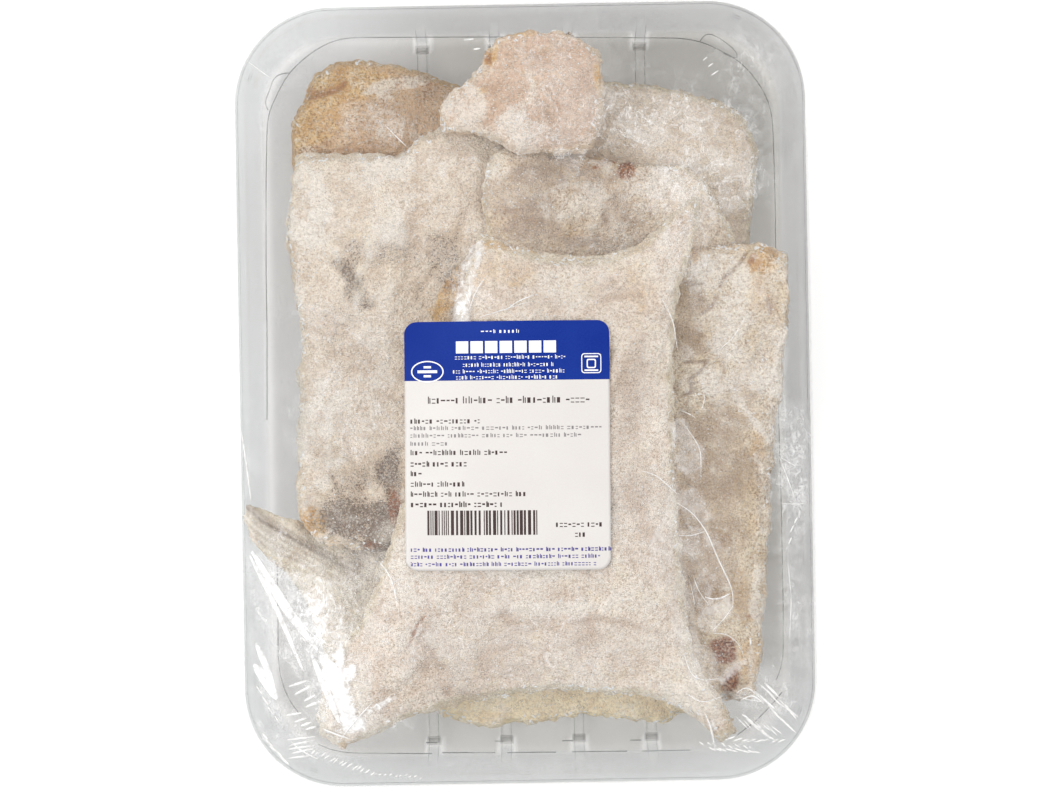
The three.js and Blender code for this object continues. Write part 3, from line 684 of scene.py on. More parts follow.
# %% Shape each piece of cod
def shaped(node, facts, seed):
    """A rough, painted net for one piece of cod."""
    mesh = net_of(node, facts.get("voxel", VOXEL))
    edges = edges_of(mesh)
    points = smoothed(points_of(mesh), edges, 9)
    move_points(mesh, points)
    normals = normals_of(mesh)
    upward = normals[:, 2]
    side = 1.0 - eased(np.abs(upward), 0.35, 0.8)
    for _ in range(4):
        side = np.maximum(side, 0.35 * side + 0.65 * averaged(side, edges))
    margin = side
    for _ in range(14):
        margin = 0.2 * margin + 0.8 * averaged(margin, edges)

    relief = facts["lumps"] * rugged(points, 11.0, 2, seed)
    crust = np.abs(rugged(points, 3.6, 2, seed + 7))
    relief += facts["grain"] * (2.2 * crust - 0.7)
    torn = rugged(points * (1.0, 1.0, 0.35), 4.2, 3, seed + 13)
    relief += facts["ragged"] * side * torn
    flake = 1.0 - np.abs(rugged(points, 7.0, 3, seed + 19)) * 2.2
    relief += facts["flaky"] * eased(margin, 0.1, 0.6) * flake

    channels = np.zeros((len(points), 4))
    for zone, patches in facts["patches"].items():
        for u, v, wide, high, turn, strength in patches:
            patch = strength * spot(points, facts["level"], u, v, wide, high, turn)
            channels[:, ZONES[zone]] = np.maximum(channels[:, ZONES[zone]], patch)
    for path, wide, high, zone, strength in facts["lines"]:
        places = [seen(u, v, facts["level"]) for u, v in path]
        wander = points[:, :2] + 0.7 * np.stack([unevenness(points, 5.0, seed + 3),
                                                 unevenness(points, 5.0, seed + 4)], axis=1)
        far, along = distance_to(places, wander)
        ends = eased(along, 0.0, 0.12) * (1.0 - eased(along, 0.88, 1.0))
        mark = np.exp(-(far / wide) ** 2) * ends * eased(upward, 0.1, 0.5)
        relief += high * mark
        tint = strength * np.exp(-(far / (1.5 * wide)) ** 2) * ends
        channels[:, ZONES[zone]] = np.maximum(channels[:, ZONES[zone]], tint)
    return mesh, points, normals, relief, side, margin, channels


print("pieces to shape:", len(COD))

# %% Nets with their relief
FISH_FLOOR = 1.6
FISH_CEILING = 52.9  # under the film, which stays inside the solids' box


def finished_net(parts):
    """Moves the points by their relief and stores what the materials read."""
    mesh, points, normals, relief, side, margin, channels = parts
    moved = points + normals * np.clip(relief, -1.8, 1.5)[:, None]
    moved[:, 2] = np.clip(moved[:, 2], FISH_FLOOR, FISH_CEILING)
    move_points(mesh, moved)
    paint(mesh, "zones", channels)
    height = np.clip(0.5 + relief * 0.45, 0.0, 1.0)
    upward = np.clip(normals[:, 2], 0.0, 1.0)
    paint(mesh, "form", np.stack([side, margin, height, upward], axis=1))
    mesh.shade_smooth()
    return mesh


cod_parts = {name: shaped(name, facts, 11 + 5 * k) for k, (name, facts) in enumerate(COD.items())}
print("points in the nets:", {name: len(parts[1]) for name, parts in cod_parts.items()})

# %% [markdown]
# ## The fin
# The fin's rays run from the flesh to the tray's rim, where the fan is pinched under the film. They are
# ridges along the piece, so their place across the fan is worked out first, between an upper and a lower
# border, and a wave of that place gives ridges. The rays at the upper border are dark, those at the lower
# border ivory.

# %% Rays of the fin
FAN_TOP = [(232, 470), (240, 496), (249, 507), (262, 518), (280, 530), (300, 543), (330, 560), (365, 578),
           (400, 592)]
FAN_FOOT = [(232, 500), (240, 527), (250, 546), (266, 559), (283, 567), (300, 575), (330, 596), (365, 624),
            (400, 652)]
mesh, points, normals, relief, side, margin, channels = cod_parts["cod_fin"]
pitch = pitch_at(38.0)
turned_x = points[:, 0] * math.cos(VIEW_TURN) - points[:, 1] * math.sin(VIEW_TURN)
turned_y = points[:, 0] * math.sin(VIEW_TURN) + points[:, 1] * math.cos(VIEW_TURN)
fan_u = VIEW_MIDDLE[0] + turned_x / pitch
fan_v = VIEW_MIDDLE[1] - turned_y / pitch
top_v = np.interp(fan_u, *np.array(FAN_TOP, dtype=float).T)
foot_v = np.interp(fan_u, *np.array(FAN_FOOT, dtype=float).T)
across_fan = (fan_v - top_v) / (foot_v - top_v)
on_fan = eased(across_fan, -0.25, 0.02) * (1 - eased(across_fan, 1.0, 1.2)) * (1 - eased(fan_u, 316, 384))
wave = 0.5 + 0.5 * np.cos(2 * math.pi * (2.5 * across_fan + 0.2 * unevenness(points, 12.0, 3)))
relief += on_fan * (0.5 * wave - 0.25)
channels[:, ZONES["frost"]] = channels[:, ZONES["frost"]] * (1 - on_fan)
fan_place = np.stack([np.clip(across_fan * 0.5 + 0.25, 0.0, 1.0), on_fan, on_fan, on_fan], axis=1)
cod_parts["cod_fin"] = (mesh, points, normals, relief, side, margin, channels)
print("points on the fan:", int((on_fan > 0.5).sum()))

# %% [markdown]
# ## Salted flesh as a material
# Dried cod is pale, mottled and matt, with a sugar-like crust. The base is mottled by wide noise. The
# painted zones are broken up by finer noise before their colours are mixed in, so no patch has a drawn
# border. Small Voronoi cells stand for salt crystals: they lighten the colour and raise the surface.

# %% One finish for all the cod
def cod_finish(name, flesh, shade, cut, dark, frost=0.45, specks=0.5, wet=0.0, rays=False, grit=0.0):
    """The finish of one piece: its flesh, the shade in its mottles, its cut edge and its dark skin."""
    make = Finish(name)
    golden, skin, salted, rust = make.painted("zones")
    _, margin, height, upward = make.painted("form")
    mottle = make.noise(6.0, 5.0, 0.66, 0.6)
    grain = make.noise(0.85, 3.0, 0.7)
    dust = make.noise(0.4, 1.0, 0.6)
    fibre = make.noise(1.7, 3.0, 0.65, 0.5, (0.35, (0.3, 1.0, 1.0)))
    crystal = make.cells(1.0)
    broken = (mottle - 0.5) * 1.2 + (grain - 0.5) * 1.3 + (dust - 0.5) * 0.5
    granular = (mottle - 0.5) * 0.7 + (grain - 0.5) * 3.6 + (dust - 0.5) * 2.2

    colour = make.mix((mottle * 0.7 + fibre * 0.3).step(0.36, 0.66) * 0.8, flesh, shade)
    colour = make.mix((margin * 1.2 + broken * 0.35).step(0.25, 0.75) * 0.8, colour, cut)
    gold = make.mix(mottle.step(0.35, 0.7), tone(218, 176, 124), tone(238, 206, 154))
    colour = make.mix((golden * 1.3 + broken * 0.55).step(0.25, 0.85), colour, gold)
    colour = make.mix((skin * 1.25 + granular * skin.step(0.0, 0.3)).step(0.25, 1.0) * 0.92, colour, dark)
    brown = make.mix(grain.step(0.35, 0.65), tone(132, 76, 48), tone(184, 126, 88))
    stained = (rust * 1.4 + granular * 0.5 * rust.step(0.0, 0.3)).step(0.3, 0.9)
    colour = make.mix(stained * 0.95, colour, brown)
    if rays:
        across, on_fan = make.painted("fan")[:2]
        ray = make.node("ShaderNodeMath", {"operation": "SINE"}, {0: across * 62.0 + (mottle - 0.5) * 5.0})
        ray = (ray * 0.5 + 0.5) * (0.7 + (fibre - 0.5) * 0.6)
        fin = make.mix(ray, tone(220, 209, 194), tone(255, 250, 238))
        ivory = make.mix(ray, tone(236, 222, 194), tone(255, 250, 236))
        fin = make.mix(across.step(0.56, 0.68) * 0.9, fin, ivory)
        edge = (1 - across.step(0.24, 0.4)) * 0.85
        fin = make.mix(edge, fin, make.mix(ray, tone(122, 104, 94), tone(206, 192, 178)))
        colour = make.mix(on_fan * 0.95, colour, fin)
    drift = make.noise(15.0, 5.0, 0.68, 1.2)
    colour = make.mix((0.52 - drift).step(0.0, 0.2) * 0.6, colour,
                      make.mix(1.0, colour, tone(230, 219, 210), "MULTIPLY"))
    colour = make.mix((drift - 0.53).step(0.0, 0.1) * (0.6 - mottle).step(0.0, 0.15) * 0.5, colour,
                      make.mix(1.0, colour, tone(250, 244, 222), "MULTIPLY"))
    heap = salted * 0.9 + (height - 0.5) * 0.8 + frost * 0.6 + broken * 0.7 + (drift - 0.5) * 2.4
    salt = heap.step(0.25, 0.95)
    colour = make.mix(salt * 0.7, colour, tone(250, 243, 233))
    sparkle = (0.5 - crystal).step(0.0, 0.2) * (grain + frost * 0.4).step(0.42, 0.7)
    colour = make.mix(sparkle * 0.4, colour, tone(250, 243, 232))
    colour = make.mix((granular - 0.35).step(0.0, 0.5) * skin.step(0.15, 0.6) * 0.55, colour,
                      make.mix(1.0, colour, tone(150, 126, 118), "MULTIPLY"))
    pits = ((0.52 - grain).step(0.0, 0.14) * 0.6 + (0.5 - dust).step(0.0, 0.16) * 0.6) * (1 - salt * 0.4)
    colour = make.mix(pits * specks, colour, make.mix(1.0, colour, tone(186, 164, 144), "MULTIPLY"))
    if grit:
        worn = (mottle - 0.35).step(0.0, 0.3)
        colour = make.mix((0.5 - grain).step(0.0, 0.17) * worn * grit, colour,
                          make.mix(1.0, colour, tone(176, 146, 122), "MULTIPLY"))
        colour = make.mix((grain - 0.5).step(0.0, 0.17) * worn * grit * 0.6, colour, tone(250, 240, 224))
    # painted shade: low places on up-facing flesh are darkened a little
    valley_shade = (0.5 - height).step(0.0, 0.3) * upward
    colour = make.mix(valley_shade * 0.3, colour, make.mix(1.0, colour, tone(216, 200, 184), "MULTIPLY"))

    rough = 0.64 + (grain - 0.5) * 0.3 - wet * 0.2
    bumps = grain * 0.8 + dust * 0.3 + sparkle * 0.3 + fibre * 0.9
    sockets = {
        "Base Color": colour, "Roughness": rough, "Normal": make.bump(bumps, 0.9, 0.8), "IOR": 1.42,
    }
    return make.surface(make.node("ShaderNodeBsdfPrincipled", sockets=sockets))


print("one finish, four colours a piece")

# %% The nine finishes
FINISHES = {
    "cod_under": cod_finish(
        "golden cut cod", tone(255, 243, 214), tone(255, 235, 200),
        tone(255, 238, 200), tone(204, 170, 132), 0.3, 0.25),
    "cod_back_left": cod_finish(
        "tan cod end", tone(232, 202, 168), tone(212, 178, 142),
        tone(234, 200, 150), tone(204, 176, 150), 0.26, 0.6, 0.5, grit=0.65),
    "cod_back_right": cod_finish(
        "hazy cod", tone(232, 216, 196), tone(220, 203, 182),
        tone(232, 217, 188), tone(190, 173, 156), 0.2, 0.3),
    "cod_fin": cod_finish(
        "fin and flesh", tone(255, 248, 234), tone(246, 234, 216),
        tone(250, 240, 220), tone(180, 164, 146), 0.4, 0.15, 0.3, True),
    "cod_left": cod_finish(
        "frosted cod", tone(248, 236, 220), tone(236, 221, 203),
        tone(240, 226, 204), tone(128, 112, 100), 0.5, 0.55),
    "cod_middle": cod_finish(
        "cod on its skin", tone(240, 224, 203), tone(226, 208, 188),
        tone(238, 224, 198), tone(176, 157, 146), 0.35, 0.6, grit=0.5),
    "cod_top_flap": cod_finish(
        "pinkish cod", tone(231, 205, 184), tone(218, 190, 167),
        tone(234, 213, 186), tone(178, 156, 140), 0.4, 0.4),
    "cod_right": cod_finish(
        "brown cod", tone(244, 230, 206), tone(228, 211, 184),
        tone(244, 224, 194), tone(178, 152, 128), 0.24, 0.8, grit=0.5),
    "cod_centre": cod_finish(
        "salt-crusted cod", tone(247, 236, 223), tone(235, 221, 208),
        tone(240, 229, 204), tone(184, 164, 150), 0.5, 0.6),
}
print("finishes:", len(FINISHES))

# %% The pieces of cod
cod = {}
for name, parts in cod_parts.items():
    net = finished_net(parts)
    if name == "cod_fin":
        paint(net, "fan", fan_place)
    net.materials.clear()
    net.materials.append(FINISHES[name])
    piece = new_piece("flesh_" + name, net)
    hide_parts(name)
    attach(piece, "root")
    cod[name] = piece
print("squares:", {name: len(piece.data.polygons) for name, piece in cod.items()})

# %% [markdown]
# ## Loose salt and flakes
# Coarse salt and small flakes of flesh stick to the pieces. They repeat by the thousand, so Geometry
# Nodes scatter them: points are spread over the parts that a painted channel allows, one small mesh is
# put on each point with a random turn and size, and the result is realised into plain triangles. The seed
# is fixed.

# %% A tree that scatters grains
def scatter_tree(name, material, sides):
    """Nodes that spread small stones over a surface. Sides is a cube's (0) or a sphere's fineness."""
    tree = bpy.data.node_groups.new(name, "GeometryNodeTree")
    face = tree.interface
    face.new_socket(name="Surface", in_out="INPUT", socket_type="NodeSocketGeometry")
    inputs = {"Density": 40000.0, "Smallest": 0.4, "Largest": 1.0, "Flatness": 1.0, "Channel": 0.0}
    for socket_name, value in inputs.items():
        socket = face.new_socket(name=socket_name, in_out="INPUT", socket_type="NodeSocketFloat")
        socket.default_value = value
    face.new_socket(name="Seed", in_out="INPUT", socket_type="NodeSocketInt")
    face.new_socket(name="Grains", in_out="OUTPUT", socket_type="NodeSocketGeometry")

    def add(kind, settings=None, **values):
        node = tree.nodes.new(kind)
        for key, value in (settings or {}).items():
            setattr(node, key, value)
        for key, value in values.items():
            node.inputs[key.replace("_", " ")].default_value = value
        return node

    def join(source, out, target, entry):
        tree.links.new(source.outputs[out], target.inputs[entry])

    given = add("NodeGroupInput")
    allowed = add("GeometryNodeInputNamedAttribute", {"data_type": "FLOAT_COLOR"}, Name="loose")
    channels = add("FunctionNodeSeparateColor")
    chosen = add("ShaderNodeMix", {"data_type": "FLOAT"})
    density = add("ShaderNodeMath", {"operation": "MULTIPLY"})
    spread = add("GeometryNodeDistributePointsOnFaces", {"distribute_method": "RANDOM"})
    if sides:
        stone = add("GeometryNodeMeshIcoSphere", Radius=0.5 * MM, Subdivisions=sides)
    else:
        stone = add("GeometryNodeMeshCube", Size=(MM, MM, MM))
    size = add("FunctionNodeRandomValue", {"data_type": "FLOAT"})
    turn = add("FunctionNodeRandomValue", {"data_type": "FLOAT_VECTOR"})
    turn.inputs[0].default_value = (-0.6, -0.6, 0.0)
    turn.inputs[1].default_value = (0.6, 0.6, 6.283)
    lay = add("FunctionNodeRotateRotation", {"rotation_space": "LOCAL"})
    euler = add("FunctionNodeEulerToRotation")
    shape = add("ShaderNodeCombineXYZ")
    slim = add("ShaderNodeMath", {"operation": "MULTIPLY"})
    narrow = add("ShaderNodeMath", {"operation": "MULTIPLY"})
    narrow.inputs[1].default_value = 0.4 if sides else 0.75
    place = add("GeometryNodeInstanceOnPoints")
    real = add("GeometryNodeRealizeInstances")
    coat = add("GeometryNodeSetMaterial")
    coat.inputs["Material"].default_value = material
    result = add("NodeGroupOutput")
    join(given, "Surface", spread, "Mesh")
    join(allowed, 0, channels, 0)
    join(given, "Channel", chosen, 0)
    join(channels, 0, chosen, 2)
    join(channels, 1, chosen, 3)
    join(chosen, 0, density, 0)
    join(given, "Density", density, 1)
    join(density, 0, spread, "Density")
    join(given, "Seed", spread, "Seed")
    join(given, "Smallest", size, 2)
    join(given, "Largest", size, 3)
    join(size, 1, shape, 0)
    join(size, 1, narrow, 0)
    join(narrow, 0, shape, 1)
    join(size, 1, slim, 0)
    join(given, "Flatness", slim, 1)
    join(slim, 0, shape, 2)
    join(turn, 0, euler, 0)
    join(spread, "Rotation", lay, 0)
    join(euler, 0, lay, 1)
    join(spread, "Points", place, "Points")
    join(stone, "Mesh", place, "Instance")
    join(lay, 0, place, "Rotation")
    join(shape, 0, place, "Scale")
    join(place, 0, real, 0)
    join(real, 0, coat, 0)
    join(coat, 0, result, 0)
    return tree


print("a tree can be made")

# %% Run a tree and join its stones
def scattered(surface, tree, **values):
    """Runs a tree over a surface or over loose points and returns what it makes as a plain mesh."""
    run = surface.modifiers.new("tree", "NODES")
    run.node_group = tree
    for item in tree.interface.items_tree:
        if item.item_type == "SOCKET" and item.in_out == "INPUT" and item.name in values:
            run[item.identifier] = values[item.name]
    found = surface.evaluated_get(bpy.context.evaluated_depsgraph_get())
    mesh = bpy.data.meshes.new_from_object(found)
    surface.modifiers.remove(run)
    return mesh


def joined(name, meshes):
    """Several meshes of one material as one piece."""
    net = bmesh.new()
    for mesh in meshes:
        net.from_mesh(mesh)
    whole = bpy.data.meshes.new(name)
    net.to_mesh(whole)
    net.free()
    whole.materials.append(meshes[0].materials[0])
    for polygon in whole.polygons:
        polygon.material_index = 0
    return new_piece(name, whole)


print("stones come out as plain meshes")

# %% [markdown]
# Only what lies open gets loose salt, because grains between the pieces would never be seen. A ray is
# sent up from each point of the flesh: if it meets another piece, the point is covered.

# %% Where the flesh lies open
def tree_of(pieces):
    """One search tree over several pieces, in millimetres."""
    all_points, all_faces, count = [], [], 0
    for piece in pieces:
        all_points.append(points_of(piece.data))
        for polygon in piece.data.polygons:
            all_faces.append([corner + count for corner in polygon.vertices])
        count += len(all_points[-1])
    return BVHTree.FromPolygons(np.concatenate(all_points).tolist(), all_faces)


pile = tree_of(cod.values())
UP = Vector((0, 0, 1))
open_points = {}
for name, piece in cod.items():
    points = points_of(piece.data)
    normals = normals_of(piece.data)
    open_here = np.zeros(len(points))
    for k in np.flatnonzero(normals[:, 2] > 0.15):
        start = Vector(points[k]) + 1.2 * UP
        open_here[k] = 0.0 if pile.ray_cast(start, UP)[0] else 1.0
    open_points[name] = int(open_here.sum())
    zones = np.empty(len(points) * 4, dtype=np.float32)
    piece.data.color_attributes["zones"].data.foreach_get("color", zones)
    form = np.empty(len(points) * 4, dtype=np.float32)
    piece.data.color_attributes["form"].data.foreach_get("color", form)
    zones, form = zones.reshape(-1, 4), form.reshape(-1, 4)
    heaps = eased(rugged(points, 9.0, 3, 91), -0.25, 0.5)
    salt_here = open_here * np.clip(0.15 + 0.5 * heaps + 0.6 * zones[:, 2] - 0.7 * zones[:, 0], 0.0, 1.0)
    salt_here = salt_here * (0.25 if name in ("cod_back_left", "cod_back_right") else 1.0)
    torn_here = open_here * eased(form[:, 1], 0.2, 0.6) * eased(rugged(points, 6.0, 2, 95), -0.5, 0.4)
    torn_here = torn_here * (0.25 + COD[name]["flaky"])
    paint(piece.data, "loose", np.stack([salt_here, torn_here, open_here, open_here], axis=1))
print("open points:", open_points)

# %% [markdown]
# Salt grains are cubes 0.2 to 0.5 mm wide. Flakes are flattened balls up to 2.6 mm long, mostly at torn
# edges.

# %% Scatter salt and flakes
def grain_finish(name, colour, second, rough):
    make = Finish(name)
    dust = make.noise(0.6, 3.0, 0.6)
    shade = make.mix(dust.step(0.3, 0.7), colour, second)
    sockets = {"Base Color": shade, "Roughness": rough + (dust - 0.5) * 0.2, "IOR": 1.2,
               "Normal": make.bump(dust, 0.4, 0.15)}
    return make.surface(make.node("ShaderNodeBsdfPrincipled", sockets=sockets))


salt_finish = grain_finish("coarse salt", tone(255, 242, 222), tone(242, 226, 204), 0.8)
flake_finish = grain_finish("flakes of cod", tone(252, 236, 206), tone(240, 216, 178), 0.8)
salt_tree = scatter_tree("salt on cod", salt_finish, 0)
flake_tree = scatter_tree("flakes on cod", flake_finish, 1)
salt_meshes, flake_meshes = [], []
for k, (name, piece) in enumerate(cod.items()):
    salt_meshes.append(scattered(piece, salt_tree, Density=220000.0, Smallest=0.22, Largest=0.5,
                                 Flatness=0.7, Channel=0.0, Seed=k))
    flake_meshes.append(scattered(piece, flake_tree, Density=420000.0, Smallest=0.8, Largest=2.6,
                                  Flatness=0.16, Channel=1.0, Seed=50 + k))
print("grains:", [len(m.polygons) // 6 for m in salt_meshes])
print("flakes:", [len(m.polygons) // 20 for m in flake_meshes])
for name, meshes in (("salt_grains", salt_meshes), ("cod_flakes", flake_meshes)):
    piece = joined(name, meshes)
    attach(piece, "root")
    cod[name] = piece
pile = tree_of(cod.values())

# %% [markdown]
# ## What can be seen from above
# The film lies on whatever is highest. A search tree over all pieces, with their salt and flakes, tells
# how high the fish stands at each place of a level grid.

# %% Heights of the pile
GRID = 1.0
GRID_X = np.arange(-93.0, 93.0 + GRID, GRID)
GRID_Y = np.arange(-127.0, 127.0 + GRID, GRID)
DOWN = Vector((0, 0, -1))


def pile_height(x, y):
    hit = pile.ray_cast(Vector((x, y, 90.0)), DOWN)[0]
    return hit.z if hit else 0.0


fish_top = np.array([[pile_height(x, y) for x in GRID_X] for y in GRID_Y])
print("the fish reaches", round(float(fish_top.max()), 2), "mm")

# %% [markdown]
# ## Plan of a rounded tray
# Tray, film and label all have the same plan: a rectangle with rounded corners. One function makes a net
# for such a plan. It has rings, from the edge inwards, that run parallel to the edge until the corner
# arcs have shrunk to points, and a plain grid fills the rectangle that is left. Columns line up from ring
# to ring, so ribs and folds can follow them.

# %% A net for a rounded rectangle
def rounded_net(half, radius, columns_x, columns_y, corner_steps, insets):
    """Points as (x, y, inset, angle in the corner or nan), ring by ring and then the grid, and faces."""
    cx, cy = half[0] - radius, half[1] - radius
    rows, faces = [], []

    def ring(inset):
        made = []
        r = radius - inset
        sides = [
            [(half[0] - inset, y) for y in columns_y],
            [(x, half[1] - inset) for x in columns_x[::-1]],
            [(inset - half[0], y) for y in columns_y[::-1]],
            [(x, inset - half[1]) for x in columns_x],
        ]
        middles = [(cx, cy), (-cx, cy), (-cx, -cy), (cx, -cy)]
        for quarter in range(4):
            made += [(x, y, inset, math.nan) for x, y in sides[quarter]]
            for step in range(1, corner_steps):
                a = math.radians(90.0 * (quarter + step / corner_steps))
                x, y = middles[quarter]
                made.append((x + r * math.cos(a), y + r * math.sin(a), inset, a))
        return made

    rings = [ring(inset) for inset in insets]
    count = len(rings[0])
    for one in rings:
        rows += one
    for k in range(len(rings) - 1):
        for i in range(count):
            j = (i + 1) % count
            faces.append((k * count + i, k * count + j, (k + 1) * count + j, (k + 1) * count + i))
    base = len(rows)
    wide = len(columns_x)
    rows += [(x, y, radius, math.nan) for y in columns_y for x in columns_x]
    for j in range(len(columns_y) - 1):
        for i in range(wide - 1):
            k = base + j * wide + i
            faces.append((k, k + 1, k + wide + 1, k + wide))
    return np.array(rows), faces


def even_steps(low, high, step):
    return np.linspace(low, high, int(round((high - low) / step)) + 1)


HALF = (93.0, 127.0)
CORNER = 32.0


def inset_of(x, y):
    """How far a place in plan lies inside the outer edge of the rim."""
    over_x = np.abs(x) - (HALF[0] - CORNER)
    over_y = np.abs(y) - (HALF[1] - CORNER)
    outside = np.hypot(np.maximum(over_x, 0.0), np.maximum(over_y, 0.0))
    return CORNER - np.where(outside > 0, outside, np.maximum(over_x, over_y))


print("an even row of columns:", len(even_steps(-61, 61, 1.2)))

# %% [markdown]
# ## The tray
# A thermoformed tray is one sheet of clear plastic: a rolled rim, steep walls, a small fillet at the
# foot, four long ribs in the floor that run up the end walls, and a stacking lug in each corner. Its
# inner face is made once, as a profile that is swept round the plan, and a Solidify modifier gives the
# sheet its 0.7 mm.

# %% Profile of the tray
WALL = 0.7
FLOOR = 1.4
FLOOR_EDGE = 8.4  # the inset at which the fillet of the foot meets the floor
INNER = [(0.0, 35.7), (0.0, 37.2), (0.15, 37.6), (0.45, 37.9), (0.9, 38.0), (2.3, 38.0), (2.8, 37.9),
         (3.1, 37.65), (3.35, 37.2), (3.45, 36.2), (3.6, 35.2), (3.68, 34.0), (3.84, 32.0), (4.08, 29.0),
         (4.32, 26.0), (4.52, 23.5), (4.64, 22.0), (4.76, 20.6), (4.85, 19.5), (5.05, 17.0), (5.3, 13.5),
         (5.6, 10.0), (5.85, 6.8), (6.05, 4.3), (6.15, 3.5), (6.35, 2.7), (6.75, 2.05), (7.3, 1.6),
         (7.9, 1.42), (FLOOR_EDGE, FLOOR)]
WALL_ROWS = INNER[5:]  # the profile from the top of the rim down
BASE_INSETS = [9.5, 11.5, 14.0, 17.0, 20.0, 23.0, 26.0, 29.0, 32.0]
RIB_PLACES = [4.0 + (k - 1.5) * 24.6 for k in range(4)]
RIB_HALF, RIB_SLOPE, RIB_HEIGHT = 2.5, 0.6, 2.4
LUG_ANGLES = [159.0, 69.0, -21.0, -111.0]
LUG_REACH, LUG_RADIUS = 23.1, 5.8
CORNER_STEPS = 36


def tray_columns():
    """Columns across the tray's ends, closer together at the ribs."""
    columns = list(even_steps(-61.0, 61.0, 4.0))
    steps = (-RIB_HALF - 0.2, -RIB_HALF, -RIB_HALF + RIB_SLOPE / 2, -RIB_HALF + RIB_SLOPE,
             -RIB_HALF + RIB_SLOPE + 0.2)
    for rib in RIB_PLACES:
        columns = [c for c in columns if abs(c - rib) > 3.4]
        columns += [rib + s for s in steps] + [rib - s for s in steps] + [rib]
    return sorted(columns)


def rib_rise(x, y):
    """How far the floor's ribs stand up."""
    rise = np.zeros_like(x)
    for rib in RIB_PLACES:
        beside = np.abs(x - rib)
        crown = 1.0 - eased(beside, RIB_HALF - RIB_SLOPE, RIB_HALF)
        ends = 1.0 - eased(np.abs(y), 118.2, 119.6)
        rise = np.maximum(rise, RIB_HEIGHT * crown * ends)
    return rise


print("columns across the tray:", len(tray_columns()))

# %% The tray's net, with ribs and lugs
side_steps = even_steps(-95.0, 95.0, 4.0)
rows, faces = rounded_net(HALF, CORNER, tray_columns(), side_steps, CORNER_STEPS,
                          [inset for inset, _ in INNER] + BASE_INSETS)
per_ring = 2 * len(tray_columns()) + 2 * len(side_steps) + 4 * (CORNER_STEPS - 1)
heights = np.full(len(rows), FLOOR)
for k, (_, z) in enumerate(INNER):
    heights[k * per_ring:(k + 1) * per_ring] = z
x, y, inset, angle = rows.T
flat_floor = inset >= FLOOR_EDGE
heights = np.where(flat_floor, FLOOR + rib_rise(x, y), heights)

# Pilasters: the ribs run on up the end walls, and get shallower towards their heads.
on_wall = (inset > 3.6) & (inset < FLOOR_EDGE) & np.isnan(angle) & (np.abs(y) > 100.0)
for rib in RIB_PLACES:
    crown = 1.0 - eased(np.abs(x - rib), RIB_HALF - RIB_SLOPE, RIB_HALF)
    depth = np.interp(heights, [1.4, 3.8, 20.0, 20.8], [2.6, 2.4, 0.6, 0.0])
    y = np.where(on_wall, y - np.sign(y) * crown * depth, y)

# Lugs: half-round columns that stand out of the corners.
cx = np.sign(x) * (HALF[0] - CORNER)
cy = np.sign(y) * (HALF[1] - CORNER)
here = np.degrees(np.arctan2(y - cy, x - cx))
wall_radius = np.hypot(x - cx, y - cy)
for lug in LUG_ANGLES:
    off = np.radians((here - lug + 180.0) % 360.0 - 180.0)
    tall = eased(heights, 20.4, 22.6) * (1.0 - eased(heights, 33.6, 35.4))
    across = LUG_REACH * np.sin(off)
    room = np.clip(LUG_RADIUS ** 2 - across ** 2, 0.0, None)
    reach = LUG_REACH * np.cos(off) + np.sqrt(room)
    in_lug = (np.abs(across) < LUG_RADIUS) & ~np.isnan(angle)
    out = np.where(in_lug, np.clip(reach - wall_radius, 0.0, None), 0.0) * tall
    x = x + out * np.cos(np.radians(here))
    y = y + out * np.sin(np.radians(here))

tray = piece_of("clear_tray", np.stack([x, y, heights], axis=1), faces)
print("tray net:", len(tray.data.polygons), "faces, height", round(float(heights.max()), 2), "mm")

# %% [markdown]
# Clear plastic darkens what lies behind it a little, and reflects the room where it is seen at a slant.
# Both are a mix of a Transparent and a glossy shader. At bends more plastic is crossed and light is
# thrown aside, which is why they show as thin grey lines; a painted channel marks them. Painted shade
# darkens the sheet towards the top right and on the floor at the front end.

# %% Bends of the tray, and its painted shade
def bends_of(piece, sharp=0.35):
    """0 where a surface is flat and 1 where it turns sharply between neighbouring points."""
    edges = edges_of(piece.data)
    normals = normals_of(piece.data)
    turn = 1.0 - (normals[edges[:, 0]] * normals[edges[:, 1]]).sum(axis=1)
    strongest = np.zeros(len(normals))
    np.maximum.at(strongest, edges[:, 0], turn)
    np.maximum.at(strongest, edges[:, 1], turn)
    return np.clip(strongest / sharp, 0.0, 1.0)


bend = bends_of(tray)
placed = points_of(tray.data)
beside_rib = np.min([np.abs(placed[:, 0] - rib) for rib in RIB_PLACES], axis=0)
bend = np.where(beside_rib < 3.8, 0.03 * bend, bend)
tray_inset = inset_of(placed[:, 0], placed[:, 1])
mouth_line = np.exp(-((placed[:, 2] - 36.9) / 0.3) ** 2) * (tray_inset > 2.5)
bend = np.maximum(bend * 0.6, mouth_line)
rib_head = (beside_rib < 3.2) & (np.abs(placed[:, 1]) > 117.0) & (placed[:, 2] < 5.0)
bare = np.where(rib_head, 0.55, 0.0)
on_floor = 1.0 - eased(placed[:, 2], 4.2, 7.0)
# painted shade: the sheet is tinted darker towards the top right, and on the floor at the front end
painted_shade = eased(placed[:, 0] * 1.7 + placed[:, 1], 10.0, 100.0)
painted_shade = np.maximum(painted_shade, 0.3 * on_floor * eased(-placed[:, 1], 85.0, 112.0))
paint(tray.data, "bend", np.stack([bend, on_floor, painted_shade, bare], axis=1))
print("bends painted on", int((bend > 0.5).sum()), "points")

# %% Finish of the tray
make = Finish("clear tray plastic")
bend_here, floor_here, shade_here, bare_here = make.painted("bend")


def see_through(colour):
    return make.node("ShaderNodeBsdfTransparent", sockets={"Color": colour})


def between(share, first, second):
    return make.node("ShaderNodeMixShader", sockets={0: share, 1: first, 2: second})
